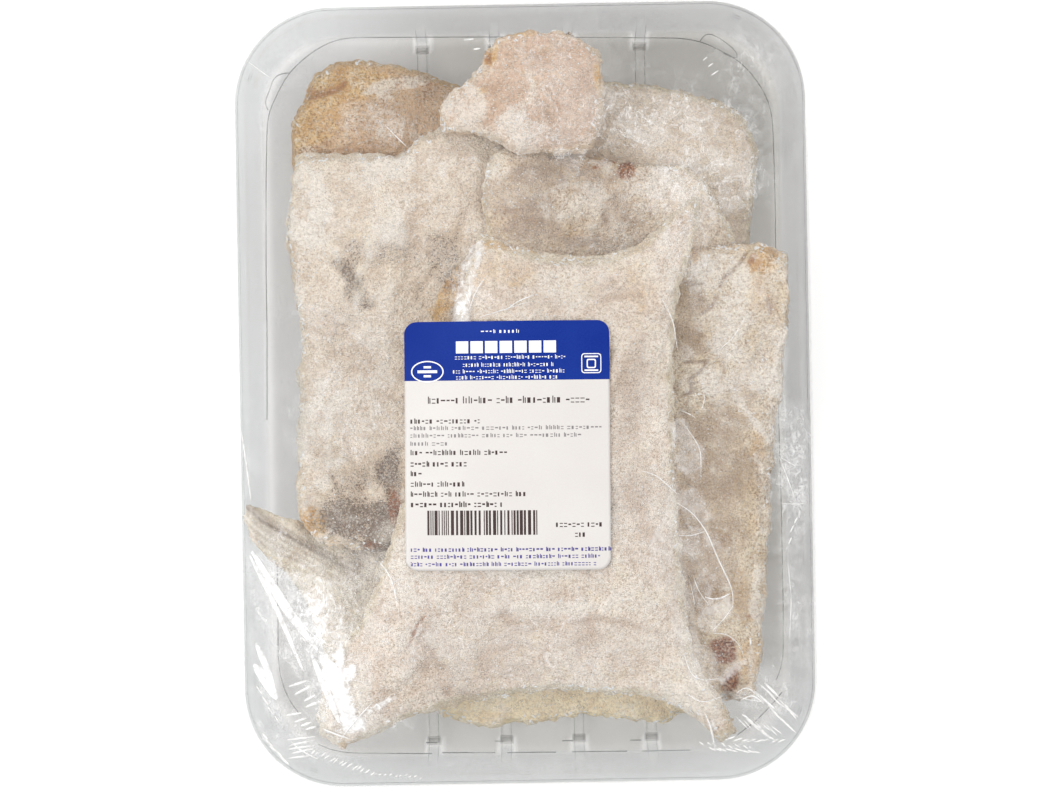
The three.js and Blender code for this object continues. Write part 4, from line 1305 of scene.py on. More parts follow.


# where painted shade lies, wall and floor take the darker tint
wall_sheet = between(shade_here, see_through(tone(235, 236, 236)), see_through(tone(228, 228, 228)))
floor_sheet = between(shade_here, see_through(tone(241, 241, 241)), see_through(tone(229, 228, 226)))
wall_or_floor = between(floor_here, wall_sheet, floor_sheet)
sheet_here = between(bare_here, wall_or_floor, see_through(tone(254, 254, 254)))
through = between(bend_here.step(0.2, 0.9) * 0.8, sheet_here, see_through(tone(190, 192, 194)))
waves = make.bump(make.noise(9.0, 1.0, 0.5), 0.25, 0.25)
gloss = make.node("ShaderNodeBsdfPrincipled", sockets={
    "Base Color": tone(236, 237, 238), "Metallic": 1.0, "Roughness": 0.09, "Normal": waves})
slant = make.node("ShaderNodeFresnel", sockets={"IOR": 1.28}).least(0.08)
mixed = between(slant, through, gloss)
tray.data.materials.append(make.surface(mixed))
sheet = tray.modifiers.new("sheet", "SOLIDIFY")
sheet.thickness = WALL * MM
sheet.offset = -1.0
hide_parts("tray")
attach(tray, "root")
print("tray sheet:", WALL, "mm thick")

# %% [markdown]
# Where the sheet changes direction, light is thrown aside and a thin dark line shows in the plastic: at
# the foot of the walls, round the lugs and at the heads of the ribs. These lines are painted shade. A line
# is a darker see-through ribbon a third of a millimetre wide. Its path is given in points of the view, and
# each point is laid on the wall, at the height where the wall is seen at that point.

# %% Painted shade lines at the bends
def wall_point(u, v):
    """The place on the tray's inner face that is seen at a point of the view."""
    levels = np.linspace(1.55, 37.2, 160)
    places = np.array([seen(u, v, z) for z in levels])
    inset = inset_of(places[:, 0], places[:, 1])
    insets, heights_of_wall = np.array(WALL_ROWS).T
    wall = np.interp(levels, heights_of_wall[::-1], insets[::-1])
    best = 0 if inset[0] > FLOOR_EDGE else int(np.argmin(np.abs(inset - wall)))
    return np.array([places[best, 0], places[best, 1], levels[best] + 0.12])


def ribbon(path, wide, points, faces):
    """A flat ribbon along a path of view points, on the tray's wall or floor."""
    dense = []
    for (u0, v0), (u1, v1) in zip(path[:-1], path[1:]):
        steps = max(2, int(math.hypot(u1 - u0, v1 - v0) / 6.0))
        dense += [(u0 + (u1 - u0) * t / steps, v0 + (v1 - v0) * t / steps) for t in range(steps)]
    places = np.array([wall_point(u, v) for u, v in dense + [path[-1]]])
    for _ in range(3):
        places[1:-1] = 0.5 * places[1:-1] + 0.25 * (places[:-2] + places[2:])
    run = np.gradient(places[:, :2], axis=0)
    beside = np.stack([-run[:, 1], run[:, 0]], axis=1) / np.linalg.norm(run, axis=1)[:, None] * wide / 2
    base = len(points)
    for place, off in zip(places, beside):
        points.append((place[0] - off[0], place[1] - off[1], place[2]))
        points.append((place[0] + off[0], place[1] + off[1], place[2]))
    for k in range(len(places) - 1):
        near = base + 2 * k
        faces.append((near, near + 1, near + 3, near + 2))


LINE_WIDTH = 0.34
BEND_SHADE_LINES = [
    [(267, 420), (267, 330), (266, 270), (266, 180), (267, 125), (269, 110), (274, 102), (280, 87),
    (289, 72),
     (302, 60), (311, 53), (322, 46), (334, 40), (350, 37.5), (420, 37.2), (500, 37), (600, 37.5),
     (680, 38),
     (700, 41), (718, 49), (741, 62), (752, 74), (762, 88), (769, 102), (772, 116), (773, 131),
     (775, 200),
     (776, 300), (778, 400), (781, 500), (783, 600), (783, 664), (776, 680)],
    [(289, 73), (281, 73), (274, 77), (271, 84), (270, 91), (265, 99), (265, 105), (268, 110)],
    [(700, 41), (704, 34), (711, 32), (725, 42), (733, 48), (737, 53), (738, 58), (734, 59), (723, 53)],
    [(277, 560), (278, 627), (278, 660), (281, 682), (288, 698), (295, 709), (300, 714)],
    [(782, 692), (766, 711), (751, 725), (737, 735)], [(318, 744), (330, 750), (350, 753), (432, 753.5)],
    [(442, 752.5), (495, 752.5)], [(507, 752.5), (556, 752)], [(572, 751.7), (627, 751)],
    [(642, 751), (690, 750)],
    [(426, 742.5), (437, 742.5)], [(495, 741), (504, 741)], [(562, 740.7), (573, 740.5)],
    [(630, 740), (641, 740)],
]
line_points, line_faces = [], []
for path in BEND_SHADE_LINES:
    ribbon(path, LINE_WIDTH, line_points, line_faces)
bend_shade_lines = piece_of("tray_lines", line_points, line_faces)
# painted shade: the ribbons darken what lies behind them
make = Finish("shade lines at bends")
clearer = make.noise(14.0, 2.0, 0.6).step(0.35, 0.75)
line_shader = between(clearer, see_through(tone(168, 170, 170)), see_through(tone(214, 216, 216)))
bend_shade_lines.data.materials.append(make.surface(line_shader))
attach(bend_shade_lines, "root")
print("shade lines at bends:", len(BEND_SHADE_LINES))

# %% [markdown]
# ## The film
# Stretch film is a membrane: it spans from the rim to the highest fish and from fish to fish, and it is
# never lower than what it lies on. That is found by relaxing a grid of heights: each becomes the mean of
# its neighbours, and is pushed up again wherever the fish is higher.

# %% Relax the film
CLEAR = 0.45  # kept over the fish, for salt and torn fibres
RIM_FILM = 38.45
FILM_CEILING = 53.5
gx, gy = np.meshgrid(GRID_X, GRID_Y)
free = inset_of(gx, gy) > 1.2
blocked = np.where(fish_top > 0.0, fish_top + CLEAR, 0.0)


def evened(field):
    """Each inner height as the mean of its four neighbours."""
    even = field.copy()
    even[1:-1, 1:-1] = 0.25 * (field[:-2, 1:-1] + field[2:, 1:-1] + field[1:-1, :-2] + field[1:-1, 2:])
    return even


def relaxed(heights, blocked, rounds):
    for _ in range(rounds):
        heights = np.where(free, np.maximum(evened(heights), blocked), heights)
    return heights


film_height = np.where(free, np.maximum(blocked, RIM_FILM), RIM_FILM)
film_height = relaxed(film_height, blocked, 2500)
film_height = np.minimum(film_height, FILM_CEILING)
print("film from", round(float(film_height.min()), 2), "to", round(float(film_height.max()), 2), "mm")


def sampled(field, x, y):
    """A grid of heights read at any place."""
    fx = np.clip((np.asarray(x) - GRID_X[0]) / GRID, 0, len(GRID_X) - 1.001)
    fy = np.clip((np.asarray(y) - GRID_Y[0]) / GRID, 0, len(GRID_Y) - 1.001)
    i, j = fx.astype(int), fy.astype(int)
    s, t = fx - i, fy - j
    near = field[j, i] * (1 - s) + field[j, i + 1] * s
    far = field[j + 1, i] * (1 - s) + field[j + 1, i + 1] * s
    return near * (1 - t) + far * t

# %% [markdown]
# ## Under the label
# Paper is stiffer than film, so the film is flat under the label. The heights there are ironed many times
# over and blended back into the film at the label's edge.

# %% Flatten the film under the label
LABEL_HALF = (33.0, 40.0)
LABEL_MIDDLE = (-6.0, -16.6)
LABEL_TURN = math.radians(-0.5)


def label_place(x, y):
    """From the label's own millimetres to the pack's."""
    c, s = math.cos(LABEL_TURN), math.sin(LABEL_TURN)
    return LABEL_MIDDLE[0] + x * c - y * s, LABEL_MIDDLE[1] + x * s + y * c


c, s = math.cos(-LABEL_TURN), math.sin(-LABEL_TURN)
lx = (gx - LABEL_MIDDLE[0]) * c - (gy - LABEL_MIDDLE[1]) * s
ly = (gx - LABEL_MIDDLE[0]) * s + (gy - LABEL_MIDDLE[1]) * c
outside = np.maximum(np.abs(lx) - LABEL_HALF[0], np.abs(ly) - LABEL_HALF[1])
under_label = 1.0 - eased(outside, 0.0, 7.0)
ironed = film_height
for _ in range(220):
    ironed = evened(ironed)
lift = float(np.max((blocked - ironed)[outside < 1.0]))
ironed = ironed + np.maximum(0.0, np.minimum(lift, 1.2) * 0.6)
film_height = np.maximum(film_height * (1 - under_label) + ironed * under_label, blocked - 0.25)
film_height = np.minimum(film_height, FILM_CEILING)
print("lifted by", round(lift, 2), "mm under the label")

# %% [markdown]
# ## Creases, milky patches and painted highlights in the film
# Tension draws fine waves from the rim towards the fish, and loose film crumples a little. They are added
# as noise that is stretched along the direction of pull. Where film has come off the wet fish it looks
# hazy: such places are painted as a channel, with patches whose borders the material draws. White
# patches where light glints off the film are painted highlights, in a channel of their own.

# %% The film's net, with its crumples
CREASE_STEP = 0.9
FILM_CORNER_STEPS = 28
LID_LEVEL = 38.4  # above this the film is lid, and below it the skirt over the rim
SKIRT = [(25.0, 0.3), (16.0, 0.3), (7.6, 0.3), (6.5, 0.5), (5.6, 1.2), (5.0, 2.3), (4.7, 3.6), (3.4, 11.3),
         (2.1, 19.3), (0.7, 27.2), (-0.6, 35.2), (-0.68, 36.5), (-0.68, 37.7), (-0.45, 38.2),
         (0.0, 38.42),
         (0.5, 38.5)]
film_columns = even_steps(-61.0, 61.0, CREASE_STEP)
film_sides = even_steps(-95.0, 95.0, CREASE_STEP)
film_rows, film_faces = rounded_net(
    HALF, CORNER, film_columns, film_sides, FILM_CORNER_STEPS,
    [inset for inset, _ in SKIRT] + [1.2] + list(even_steps(2.2, CORNER, 0.95)))
x, y, inset, _ = film_rows.T
ring_points = 2 * len(film_columns) + 2 * len(film_sides) + 4 * (FILM_CORNER_STEPS - 1)
z = sampled(film_height, x, y)
for k, (_, level) in enumerate(SKIRT):
    z[k * ring_points:(k + 1) * ring_points] = level
lid = np.arange(len(z)) >= len(SKIRT) * ring_points

flat = np.stack([x, y, np.zeros_like(x)], axis=1)
calm = 1.0 - sampled(under_label, x, y)
open_film = lid * eased(inset, 0.8, 5.0) * calm
pull = np.stack([x * 0.35, y, np.zeros_like(x)], axis=1)
ends = eased(np.abs(y), 80.0, 120.0)
pull_side = np.stack([x, y * 0.35, np.zeros_like(x)], axis=1)
sides = eased(np.abs(x), 55.0, 88.0) * (1.0 - ends)
crumple = 0.22 * rugged(flat, 13.0, 2, 71) + 0.14 * ends * rugged(pull_side, 3.5, 2, 73)
crumple += 0.14 * sides * rugged(pull, 3.5, 2, 75)
gap = z - sampled(fish_top, x, y)
z = z + open_film * np.maximum(crumple, -(np.clip(gap, 0.15, 3.0) - 0.12))
z = np.minimum(z, 53.55)
print("points of the film:", len(z))

# %% Where the film is loose or hazy, and where highlights are painted on it
LOOSE = [
    (660, 120, 90, 34, 0, 0.8), (700, 180, 60, 40, 0, 0.8), (560, 100, 60, 70, 0, 0.7),
    (560, 130, 50, 30, 0, 0.5), (600, 60, 60, 50, 0, 0.3), (735, 130, 40, 60, 0, 0.5),
    (330, 620, 60, 90, 20, 0.8), (350, 700, 50, 50, 0, 0.9), (270, 620, 20, 80, 20, 0.5),
    (610, 250, 60, 16, 0, 0.4), (470, 290, 20, 50, 0, 0.6), (680, 240, 30, 40, 0, 0.8),
    (775, 700, 30, 40, 0, 0.7), (300, 735, 40, 40, 0, 0.5), (440, 160, 60, 30, 0, 0.4),
    (790, 480, 26, 90, 0, 0.7), (800, 620, 20, 60, 0, 0.4), (340, 350, 50, 80, 0, 0.4),
    (480, 610, 130, 50, 0, 0.7), (560, 660, 120, 30, 0, 0.6), (640, 520, 30, 60, 0, 0.5),
    (380, 130, 60, 30, 0, 0.3), (340, 410, 50, 60, 0, 0.6), (400, 200, 80, 40, 0, 0.3),
    (755, 60, 40, 40, 0, 0.5), (280, 60, 40, 40, 0, 0.3), (500, 770, 200, 10, 0, 0.25),
]
# painted highlights: white patches in the film where light glints off it
PAINTED_HIGHLIGHTS = [
    (336, 690, 15, 34, 26, 0.9), (350, 722, 18, 10, -30, 0.8), (384, 702, 18, 5, 28, 0.6),
    (318, 652, 12, 26, 24, 0.4), (300, 610, 20, 60, 30, 0.18), (462, 312, 7, 8, 0, 0.6),
    (712, 728, 4, 18, 0, 0.5), (268, 700, 12, 40, 20, 0.3), (262, 735, 12, 20, 40, 0.3),
    (258, 610, 5, 60, 25, 0.25), (340, 655, 6, 14, 0, 0.8), (352, 672, 5, 8, 0, 0.7),
    (314, 626, 14, 34, 8, 0.45),
]
print("loose patches:", len(LOOSE), "haze:", len(PAINTED_HIGHLIGHTS))

# %% Milky fields, where the film has let go of the fish (outline, strength)
CLOUDS = [
    ([(684, 262), (716, 246), (745, 248), (730, 276), (716, 300), (712, 330), (696, 330),
    (686, 290)], 0.14),
    ([(722, 298), (748, 262), (768, 300), (788, 330), (786, 440), (760, 436), (736, 392),
    (714, 352)], 0.14),
    ([(696, 362), (722, 374), (736, 388), (716, 394), (690, 396), (676, 386)], 0.14),
    ([(670, 422), (683, 420), (704, 450), (700, 482), (674, 466)], 0.32),
    ([(674, 492), (696, 486), (716, 522), (700, 522), (676, 504)], 0.3),
    ([(675, 528), (704, 526), (714, 548), (694, 556), (676, 552)], 0.32),
    ([(682, 500), (716, 536), (734, 590), (716, 586), (690, 560)], 0.12),
    ([(680, 552), (714, 546), (716, 566), (686, 600)], 0.12),
    ([(690, 586), (706, 566), (716, 576), (708, 604), (698, 612)], 0.26),
    ([(704, 600), (730, 594), (732, 610), (714, 632), (696, 624)], 0.36),
    ([(648, 545), (664, 510), (676, 470), (682, 560), (692, 600), (702, 650), (692, 676), (678, 652),
      (670, 610), (650, 580)], 0.26),
    ([(682, 650), (698, 640), (714, 652), (718, 672), (724, 680), (700, 684), (686, 676)], 0.3),
    ([(716, 674), (743, 656), (746, 662), (722, 686)], 0.4),
    ([(732, 694), (746, 684), (764, 702), (742, 710)], 0.26),
    ([(600, 90), (680, 90), (756, 110), (756, 190), (700, 236), (640, 160)], 0.12),
    ([(776, 440), (804, 446), (804, 516), (780, 506)], 0.2),
    ([(780, 520), (806, 530), (800, 640), (786, 600)], 0.16),
    ([(240, 500), (262, 520), (300, 600), (330, 650), (316, 662), (284, 612), (250, 552)], 0.14),
    # painted highlight: this field is a white band where light glints off the film along a piece's edge
    ([(452, 326), (456, 300), (464, 262), (474, 238), (486, 246), (474, 280), (468, 326)], 0.5),
    ([(640, 130), (664, 118), (690, 116), (724, 108), (760, 130), (740, 150), (690, 160)], 0.1),
    ([(284, 210), (330, 214), (420, 236), (470, 250), (440, 262), (330, 250), (286, 240)], 0.12),
    ([(300, 300), (360, 320), (390, 330), (380, 350), (310, 340)], 0.12),
    ([(284, 570), (330, 580), (350, 640), (310, 700), (284, 660)], 0.32),
    ([(420, 560), (600, 566), (600, 580), (420, 576)], 0.1),
]


print("milky fields:", len(CLOUDS))

# %% Paint the film
def film_patches(points, patches):
    total = np.zeros(len(points))
    for u, v, wide, high, turn, strength in patches:
        total = np.maximum(total, strength * spot(points, 44.0, u, v, wide, high, turn))
    return total


def film_clouds(points):
    """How milky the film is, from outlines whose borders fade over a millimetre."""
    total = np.zeros(len(points))
    wander = points[:, :2] + 0.8 * np.stack([unevenness(points, 5.0, 83),
                                             unevenness(points, 5.0, 84)], axis=1)
    for outline, strength in CLOUDS:
        closed = np.array([seen(u, v, 44.0) for u, v in outline + outline[:1]])
        far, _ = distance_to(closed, np.hstack([wander, points[:, 2:]]))
        crossings = np.zeros(len(points), dtype=int)
        for (ax, ay), (bx, by) in zip(closed[:-1], closed[1:]):
            spans = (ay > wander[:, 1]) != (by > wander[:, 1])
            at = ax + (wander[:, 1] - ay) / (by - ay if by != ay else 1e-9) * (bx - ax)
            crossings += (spans & (wander[:, 0] < at)).astype(int)
        depth = np.where(crossings % 2 == 1, far, -far)
        total = np.maximum(total, strength * eased(depth, -0.5, 0.5) * (1.0 + 0.5 * np.exp(-np.abs(depth))))
    return total


film_points = np.stack([x, y, z], axis=1)
film = piece_of("stretch_film", film_points, film_faces)
placed = points_of(film.data)
plan = placed * (1.0, 1.0, 0.0)
film_lid = 1.0 * (placed[:, 2] > LID_LEVEL)
film_gap = placed[:, 2] - sampled(fish_top, placed[:, 0], placed[:, 1])
touching = 1.0 - film_lid * eased(film_gap, 0.6, 2.5)
looseness = film_lid * film_patches(plan, LOOSE)
highlight_share = film_lid * film_patches(plan, PAINTED_HIGHLIGHTS)
milkiness = film_lid * film_clouds(plan)
paint(film.data, "film", np.stack([looseness, highlight_share, touching, milkiness], axis=1))
print("film net:", len(film.data.polygons), "squares")

# %% [markdown]
# The film is see-through, with milky white mixed in where it is loose, hazy or creased and where
# highlights are painted, and a thin gloss on top that grows towards a slant.

# %% Finish of the film
def film_finish(name, extra_haze_and_glint=0.0):
    """Thin clear film: see-through, glossy on its folds, hazy where it has come loose, and white where
    highlights are painted.
    """
    make = Finish(name)
    loose, glints, touching, cloud = make.painted("film")
    wide = make.noise(13.0, 3.0, 0.55, 1.2)
    fine = make.noise(2.2, 2.0, 0.6, 0.8)
    hairs = make.noise(5.0, 2.0, 0.6, 1.6, (0.6, (1.0, 0.45, 1.0)))
    border = 1 - ((wide - 0.5) * 55.0).size().least(1.0)
    crease = (1 - ((hairs - 0.5) * 45.0).size().least(1.0)) * (fine - 0.4).step(0.0, 0.12)
    patch = (wide - 0.5).step(0.0, 0.012)
    wisps = (fine - 0.45).step(0.0, 0.2) * 0.08
    shed = loose * (0.05 + patch * 0.1 + border * 0.28 + crease * 0.42 + wisps)
    # painted highlight: the listed white patches, broken up by fine noise
    painted_highlight = (glints * 1.4 + (fine - 0.5) * 1.4).step(0.15, 1.25) * glints.step(0.05, 0.3)
    milk = cloud * (0.5 + (fine - 0.5) * 1.6 + (hairs - 0.5) * 1.4)
    veil = (shed + painted_highlight * 0.75 + milk + crease * 0.03 + extra_haze_and_glint + (1 - touching) * 0.02).least(0.92)
    through = make.node("ShaderNodeBsdfTransparent", sockets={"Color": tone(253, 253, 253)})
    milky = make.node("ShaderNodeBsdfDiffuse", sockets={"Color": tone(252, 251, 250)})
    body = make.node("ShaderNodeMixShader", sockets={0: veil, 1: through, 2: milky})
    lean = make.bump(hairs * 0.5 + fine * 0.2, 0.55, 0.5)
    gloss = make.node("ShaderNodeBsdfPrincipled", sockets={
        "Base Color": tone(255, 255, 255), "Metallic": 1.0, "Roughness": 0.17, "Normal": lean})
    slant = make.node("ShaderNodeFresnel", sockets={"IOR": 1.3, "Normal": lean}).least(0.2)
    mixed = make.node("ShaderNodeMixShader", sockets={0: slant, 1: body, 2: gloss})
    return make.surface(mixed)


film_material = film_finish("stretch film")
film.data.materials.append(film_material)
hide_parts("film")
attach(film, "root")
print("film finish:", film_material.name)

# %% [markdown]
# ## Tension folds
# Between the fin and the near corner the film is gathered into long straight pleats, and short ripples
# stand where it turns over the rim. A pleat is a narrow ridge that follows the film from point to point.
# Ripples are many and alike: Geometry Nodes put one small rounded bar on each point of a list, turned and
# sized by numbers that the points carry.

# %% Long pleats
def pleat(path, wide, high, points, faces):
    """A ridge with pointed ends along a path of view points."""
    corners = np.array([seen(u, v, 42.0) for u, v in path])
    lengths = np.concatenate([[0.0], np.cumsum(np.linalg.norm(np.diff(corners, axis=0), axis=1))])
    count = max(4, int(lengths[-1] / 1.2))
    run = np.linspace(0.0, lengths[-1], count)
    px, py = np.interp(run, lengths, corners[:, 0]), np.interp(run, lengths, corners[:, 1])
    for _ in range(5):
        px[1:-1] = 0.5 * px[1:-1] + 0.25 * (px[:-2] + px[2:])
        py[1:-1] = 0.5 * py[1:-1] + 0.25 * (py[:-2] + py[2:])
    tx, ty = np.gradient(px), np.gradient(py)
    size = np.hypot(tx, ty)
    nx, ny = -ty / size, tx / size
    taper = np.sin(np.pi * np.linspace(0.02, 0.98, count)) ** 0.5
    base = len(points)
    shape = [(-1.0, -0.05), (-0.45, 0.5), (0.0, 1.0), (0.45, 0.5), (1.0, -0.05)]
    for k in range(count):
        for side, up in shape:
            x = px[k] + nx[k] * side * wide * 0.5 * taper[k]
            y = py[k] + ny[k] * side * wide * 0.5 * taper[k]
            points.append((x, y, float(sampled(film_height, x, y)) + 0.25 + up * high * taper[k]))
    for k in range(count - 1):
        for m in range(4):
            q = base + 5 * k + m
            faces.append((q, q + 5, q + 6, q + 1))


BROAD_PLEAT = 1.3  # narrower ones are drawn narrower still
NARROW_SHARE = 0.62
PLEATS = [
    ([(251, 552), (285, 609), (318, 650)], 2.6, 0.5), ([(249, 556), (275, 607), (303, 670)], 1.6, 0.5),
    ([(256, 556), (300, 622), (322, 642)], 1.2, 0.3), ([(255, 644), (264, 664), (274, 690)], 2.2, 0.4),
    ([(253, 665), (266, 682), (276, 700)], 3.4, 0.3), ([(312, 655), (326, 688), (340, 722)], 2.4, 0.6),
    ([(385, 125), (406, 146)], 0.6, 0.3),
    ([(246, 60), (271, 78)], 0.6, 0.3), ([(322, 728), (334, 733), (350, 738)], 1.0, 0.35),
    ([(704, 711), (711, 728), (715, 750)], 0.9, 0.5), ([(684, 690), (700, 702), (722, 694)], 0.6, 0.3),
    ([(676, 502), (692, 512), (706, 531), (717, 558), (728, 580), (733, 592), (732, 608)], 0.7, 0.35),
    ([(640, 470), (652, 472), (662, 480), (676, 493)], 0.6, 0.3),
    ([(683, 424), (700, 448), (700, 476)], 0.5, 0.3),
    ([(678, 410), (690, 413), (695, 418)], 0.5, 0.3), ([(704, 596), (716, 600), (731, 592)], 0.9, 0.3),
    ([(712, 632), (726, 632), (740, 644), (744, 658)], 0.5, 0.3),
    ([(733, 604), (726, 616), (712, 629)], 0.5, 0.3),
    ([(736, 692), (746, 684), (764, 702)], 0.6, 0.3), ([(738, 696), (750, 700), (764, 702)], 0.5, 0.3),
    ([(682, 650), (690, 674), (700, 679), (718, 677)], 0.5, 0.3),
    ([(749, 637), (754, 641), (750, 645)], 0.9, 0.35),
    ([(676, 534), (690, 536), (705, 530)], 0.5, 0.3), ([(692, 574), (697, 590), (708, 604)], 0.5, 0.3),
    ([(688, 578), (692, 592), (694, 606)], 0.4, 0.3), ([(780, 457), (796, 466)], 0.4, 0.15),
    ([(744, 318), (733, 338), (716, 352)], 0.5, 0.25), ([(690, 396), (706, 392), (700, 412)], 0.5, 0.2),
    ([(505, 312), (518, 302), (534, 296)], 0.7, 0.25), ([(480, 318), (500, 312), (528, 303)], 0.5, 0.2),
    ([(779, 455), (788, 478), (796, 500)], 0.5, 0.2), ([(780, 503), (792, 505), (806, 504)], 0.5, 0.2),
    ([(788, 560), (792, 600), (790, 640)], 0.4, 0.15), ([(740, 700), (752, 692), (764, 704)], 0.8, 0.3),
    ([(340, 740), (352, 724), (374, 700)], 0.8, 0.35), ([(240, 430), (246, 470), (250, 500)], 0.8, 0.3),
    ([(288, 740), (300, 752), (318, 760)], 0.8, 0.3), ([(380, 560), (392, 575), (398, 600)], 0.8, 0.3),
    ([(470, 310), (476, 292), (488, 276)], 0.6, 0.25), ([(660, 300), (672, 322), (676, 350)], 0.5, 0.2),
]
ridge_points, ridge_faces = [], []
for path, wide, high in PLEATS:
    drawn = wide if wide > BROAD_PLEAT else NARROW_SHARE * wide
    pleat(path, drawn, high, ridge_points, ridge_faces)
pleats = piece_of("film_pleats", ridge_points, ridge_faces)
# extra milky white on the pleats: partly the gathered film's hazy look, partly painted highlight
pleat_material = film_finish("pleated film", 0.3)
pleats.data.materials.append(pleat_material)
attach(pleats, "root")
print("pleats:", len(PLEATS))

# %% [markdown]
# Ripples stand in rows near the rim, with a little chance in their places, turns and lengths.

# %% A tree that stands bars on points
def bar_tree(material):
    tree = bpy.data.node_groups.new("ripples", "GeometryNodeTree")
    face = tree.interface
    face.new_socket(name="Points", in_out="INPUT", socket_type="NodeSocketGeometry")
    thick = face.new_socket(name="Thickness", in_out="INPUT", socket_type="NodeSocketFloat")
    thick.default_value = 1.0
    face.new_socket(name="Bars", in_out="OUTPUT", socket_type="NodeSocketGeometry")
    nodes, links = tree.nodes, tree.links
    given = nodes.new("NodeGroupInput")
    result = nodes.new("NodeGroupOutput")
    turn, long, wide = [nodes.new("GeometryNodeInputNamedAttribute") for _ in range(3)]
    for node, name in ((turn, "turn"), (long, "long"), (wide, "wide")):
        node.data_type = "FLOAT"
        node.inputs["Name"].default_value = name
    ball = nodes.new("GeometryNodeMeshUVSphere")
    ball.inputs["Segments"].default_value = 10
    ball.inputs["Rings"].default_value = 8
    ball.inputs["Radius"].default_value = 0.5
    angle = nodes.new("ShaderNodeCombineXYZ")
    size = nodes.new("ShaderNodeCombineXYZ")
    high = nodes.new("ShaderNodeMath")
    high.operation = "MULTIPLY"
    place = nodes.new("GeometryNodeInstanceOnPoints")
    real = nodes.new("GeometryNodeRealizeInstances")
    coat = nodes.new("GeometryNodeSetMaterial")
    coat.inputs["Material"].default_value = material
    links.new(given.outputs["Points"], place.inputs["Points"])
    links.new(ball.outputs["Mesh"], place.inputs["Instance"])
    links.new(turn.outputs[0], angle.inputs[2])
    links.new(angle.outputs[0], place.inputs["Rotation"])
    links.new(long.outputs[0], size.inputs[0])
    links.new(wide.outputs[0], size.inputs[1])
    links.new(wide.outputs[0], high.inputs[0])
    links.new(given.outputs["Thickness"], high.inputs[1])
    links.new(high.outputs[0], size.inputs[2])
    links.new(size.outputs[0], place.inputs["Scale"])
    links.new(place.outputs[0], real.inputs[0])
    links.new(real.outputs[0], coat.inputs[0])
    links.new(coat.outputs[0], result.inputs[0])
    return tree


print("a bar tree can be made")

# %% Ripples (first and last middle in the view, number, length, width, turn in degrees)
RIPPLES = [
    ((299, 684), (315, 703), 4, 5.6, 0.9, 24.0), ((294, 715), (312, 727), 4, 4.6, 0.8, 14.0),
    ((302, 738), (302, 757), 5, 9.0, 0.7, 13.0), ((314, 752), (372, 774), 14, 2.4, 0.5, 38.0),
    ((772, 689), (790, 712), 2, 6.0, 0.8, -48.0), ((764, 700), (784, 722), 3, 9.0, 0.7, -48.0),
    ((745, 716), (770, 738), 9, 3.2, 0.6, -30.0), ((700, 742), (752, 748), 8, 2.0, 0.4, -40.0),
    ((258, 690), (276, 720), 4, 3.2, 0.5, -52.0), ((264, 738), (284, 762), 5, 3.6, 0.7, -44.0),
    ((468, 40), (476, 48), 2, 3.0, 0.6, 10.0), ((706, 58), (716, 72), 3, 2.4, 0.4, 40.0),
    ((376, 774), (420, 778), 10, 1.2, 0.35, 30.0), ((796, 520), (790, 540), 3, 3.0, 0.5, 60.0),
    ((765, 690), (792, 712), 7, 6.5, 0.45, -45.0), ((742, 722), (776, 730), 7, 5.0, 0.4, -42.0),
    ((712, 748), (756, 752), 9, 2.6, 0.45, -20.0), ((730, 738), (782, 742), 8, 3.0, 0.5, 20.0),
]
bar_points, bar_turns, bar_longs, bar_wides = [], [], [], []
for k, (first, last, number, long, wide, turn) in enumerate(RIPPLES):
    for m in range(number):
        share = m / (number - 1)
        chance = [hashed(k, m, c, 17) for c in range(4)]
        u = first[0] + (last[0] - first[0]) * share + 1.2 * chance[0]
        v = first[1] + (last[1] - first[1]) * share + 1.0 * chance[1]
        x, y = seen(u, v, 41.0)
        bar_points.append((x * MM, y * MM, (float(sampled(film_height, x, y)) + 0.15) * MM))
        bar_turns.append(math.radians(turn + 7.0 * chance[2]) - VIEW_TURN)
        bar_longs.append(long * (1.0 + 0.25 * chance[3]) * MM)
        bar_wides.append(wide * MM)
bar_mesh = bpy.data.meshes.new("ripple places")
bar_mesh.from_pydata(bar_points, [], [])
for name, values in (("turn", bar_turns), ("long", bar_longs), ("wide", bar_wides)):
    layer = bar_mesh.attributes.new(name, "FLOAT", "POINT")
    layer.data.foreach_set("value", values)
holder = new_piece("ripple_holder", bar_mesh)
# extra milky white on the ripples: partly the gathered film's hazy look, partly painted highlight
ripple_tree = bar_tree(film_finish("rippled film", 0.42))
ripple_mesh = scattered(holder, ripple_tree, Thickness=0.8)
bpy.data.objects.remove(holder)
ripples = new_piece("film_ripples", ripple_mesh)
ripples.data.shade_smooth()
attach(ripples, "root")
print("ripples:", len(bar_points))

# %% [markdown]
# ## The label
# A paper sticker with rounded corners lies on the film and follows it. Its print is made of thin flat
# shapes: a blue field with seven equal white blocks and two outlined marks, rows of bars, dashes and
# blocks, and a row of upright bars. There is no lettering. The blue and the dark inks lie 0.03 mm above
# the paper, the white ink 0.11 mm above the blue.

# %% The sticker and its blue field
def on_film(lx, ly, above):
    x, y = label_place(np.asarray(lx, dtype=float), np.asarray(ly, dtype=float))
    return np.stack([x, y, sampled(film_height, x, y) + above], axis=-1)


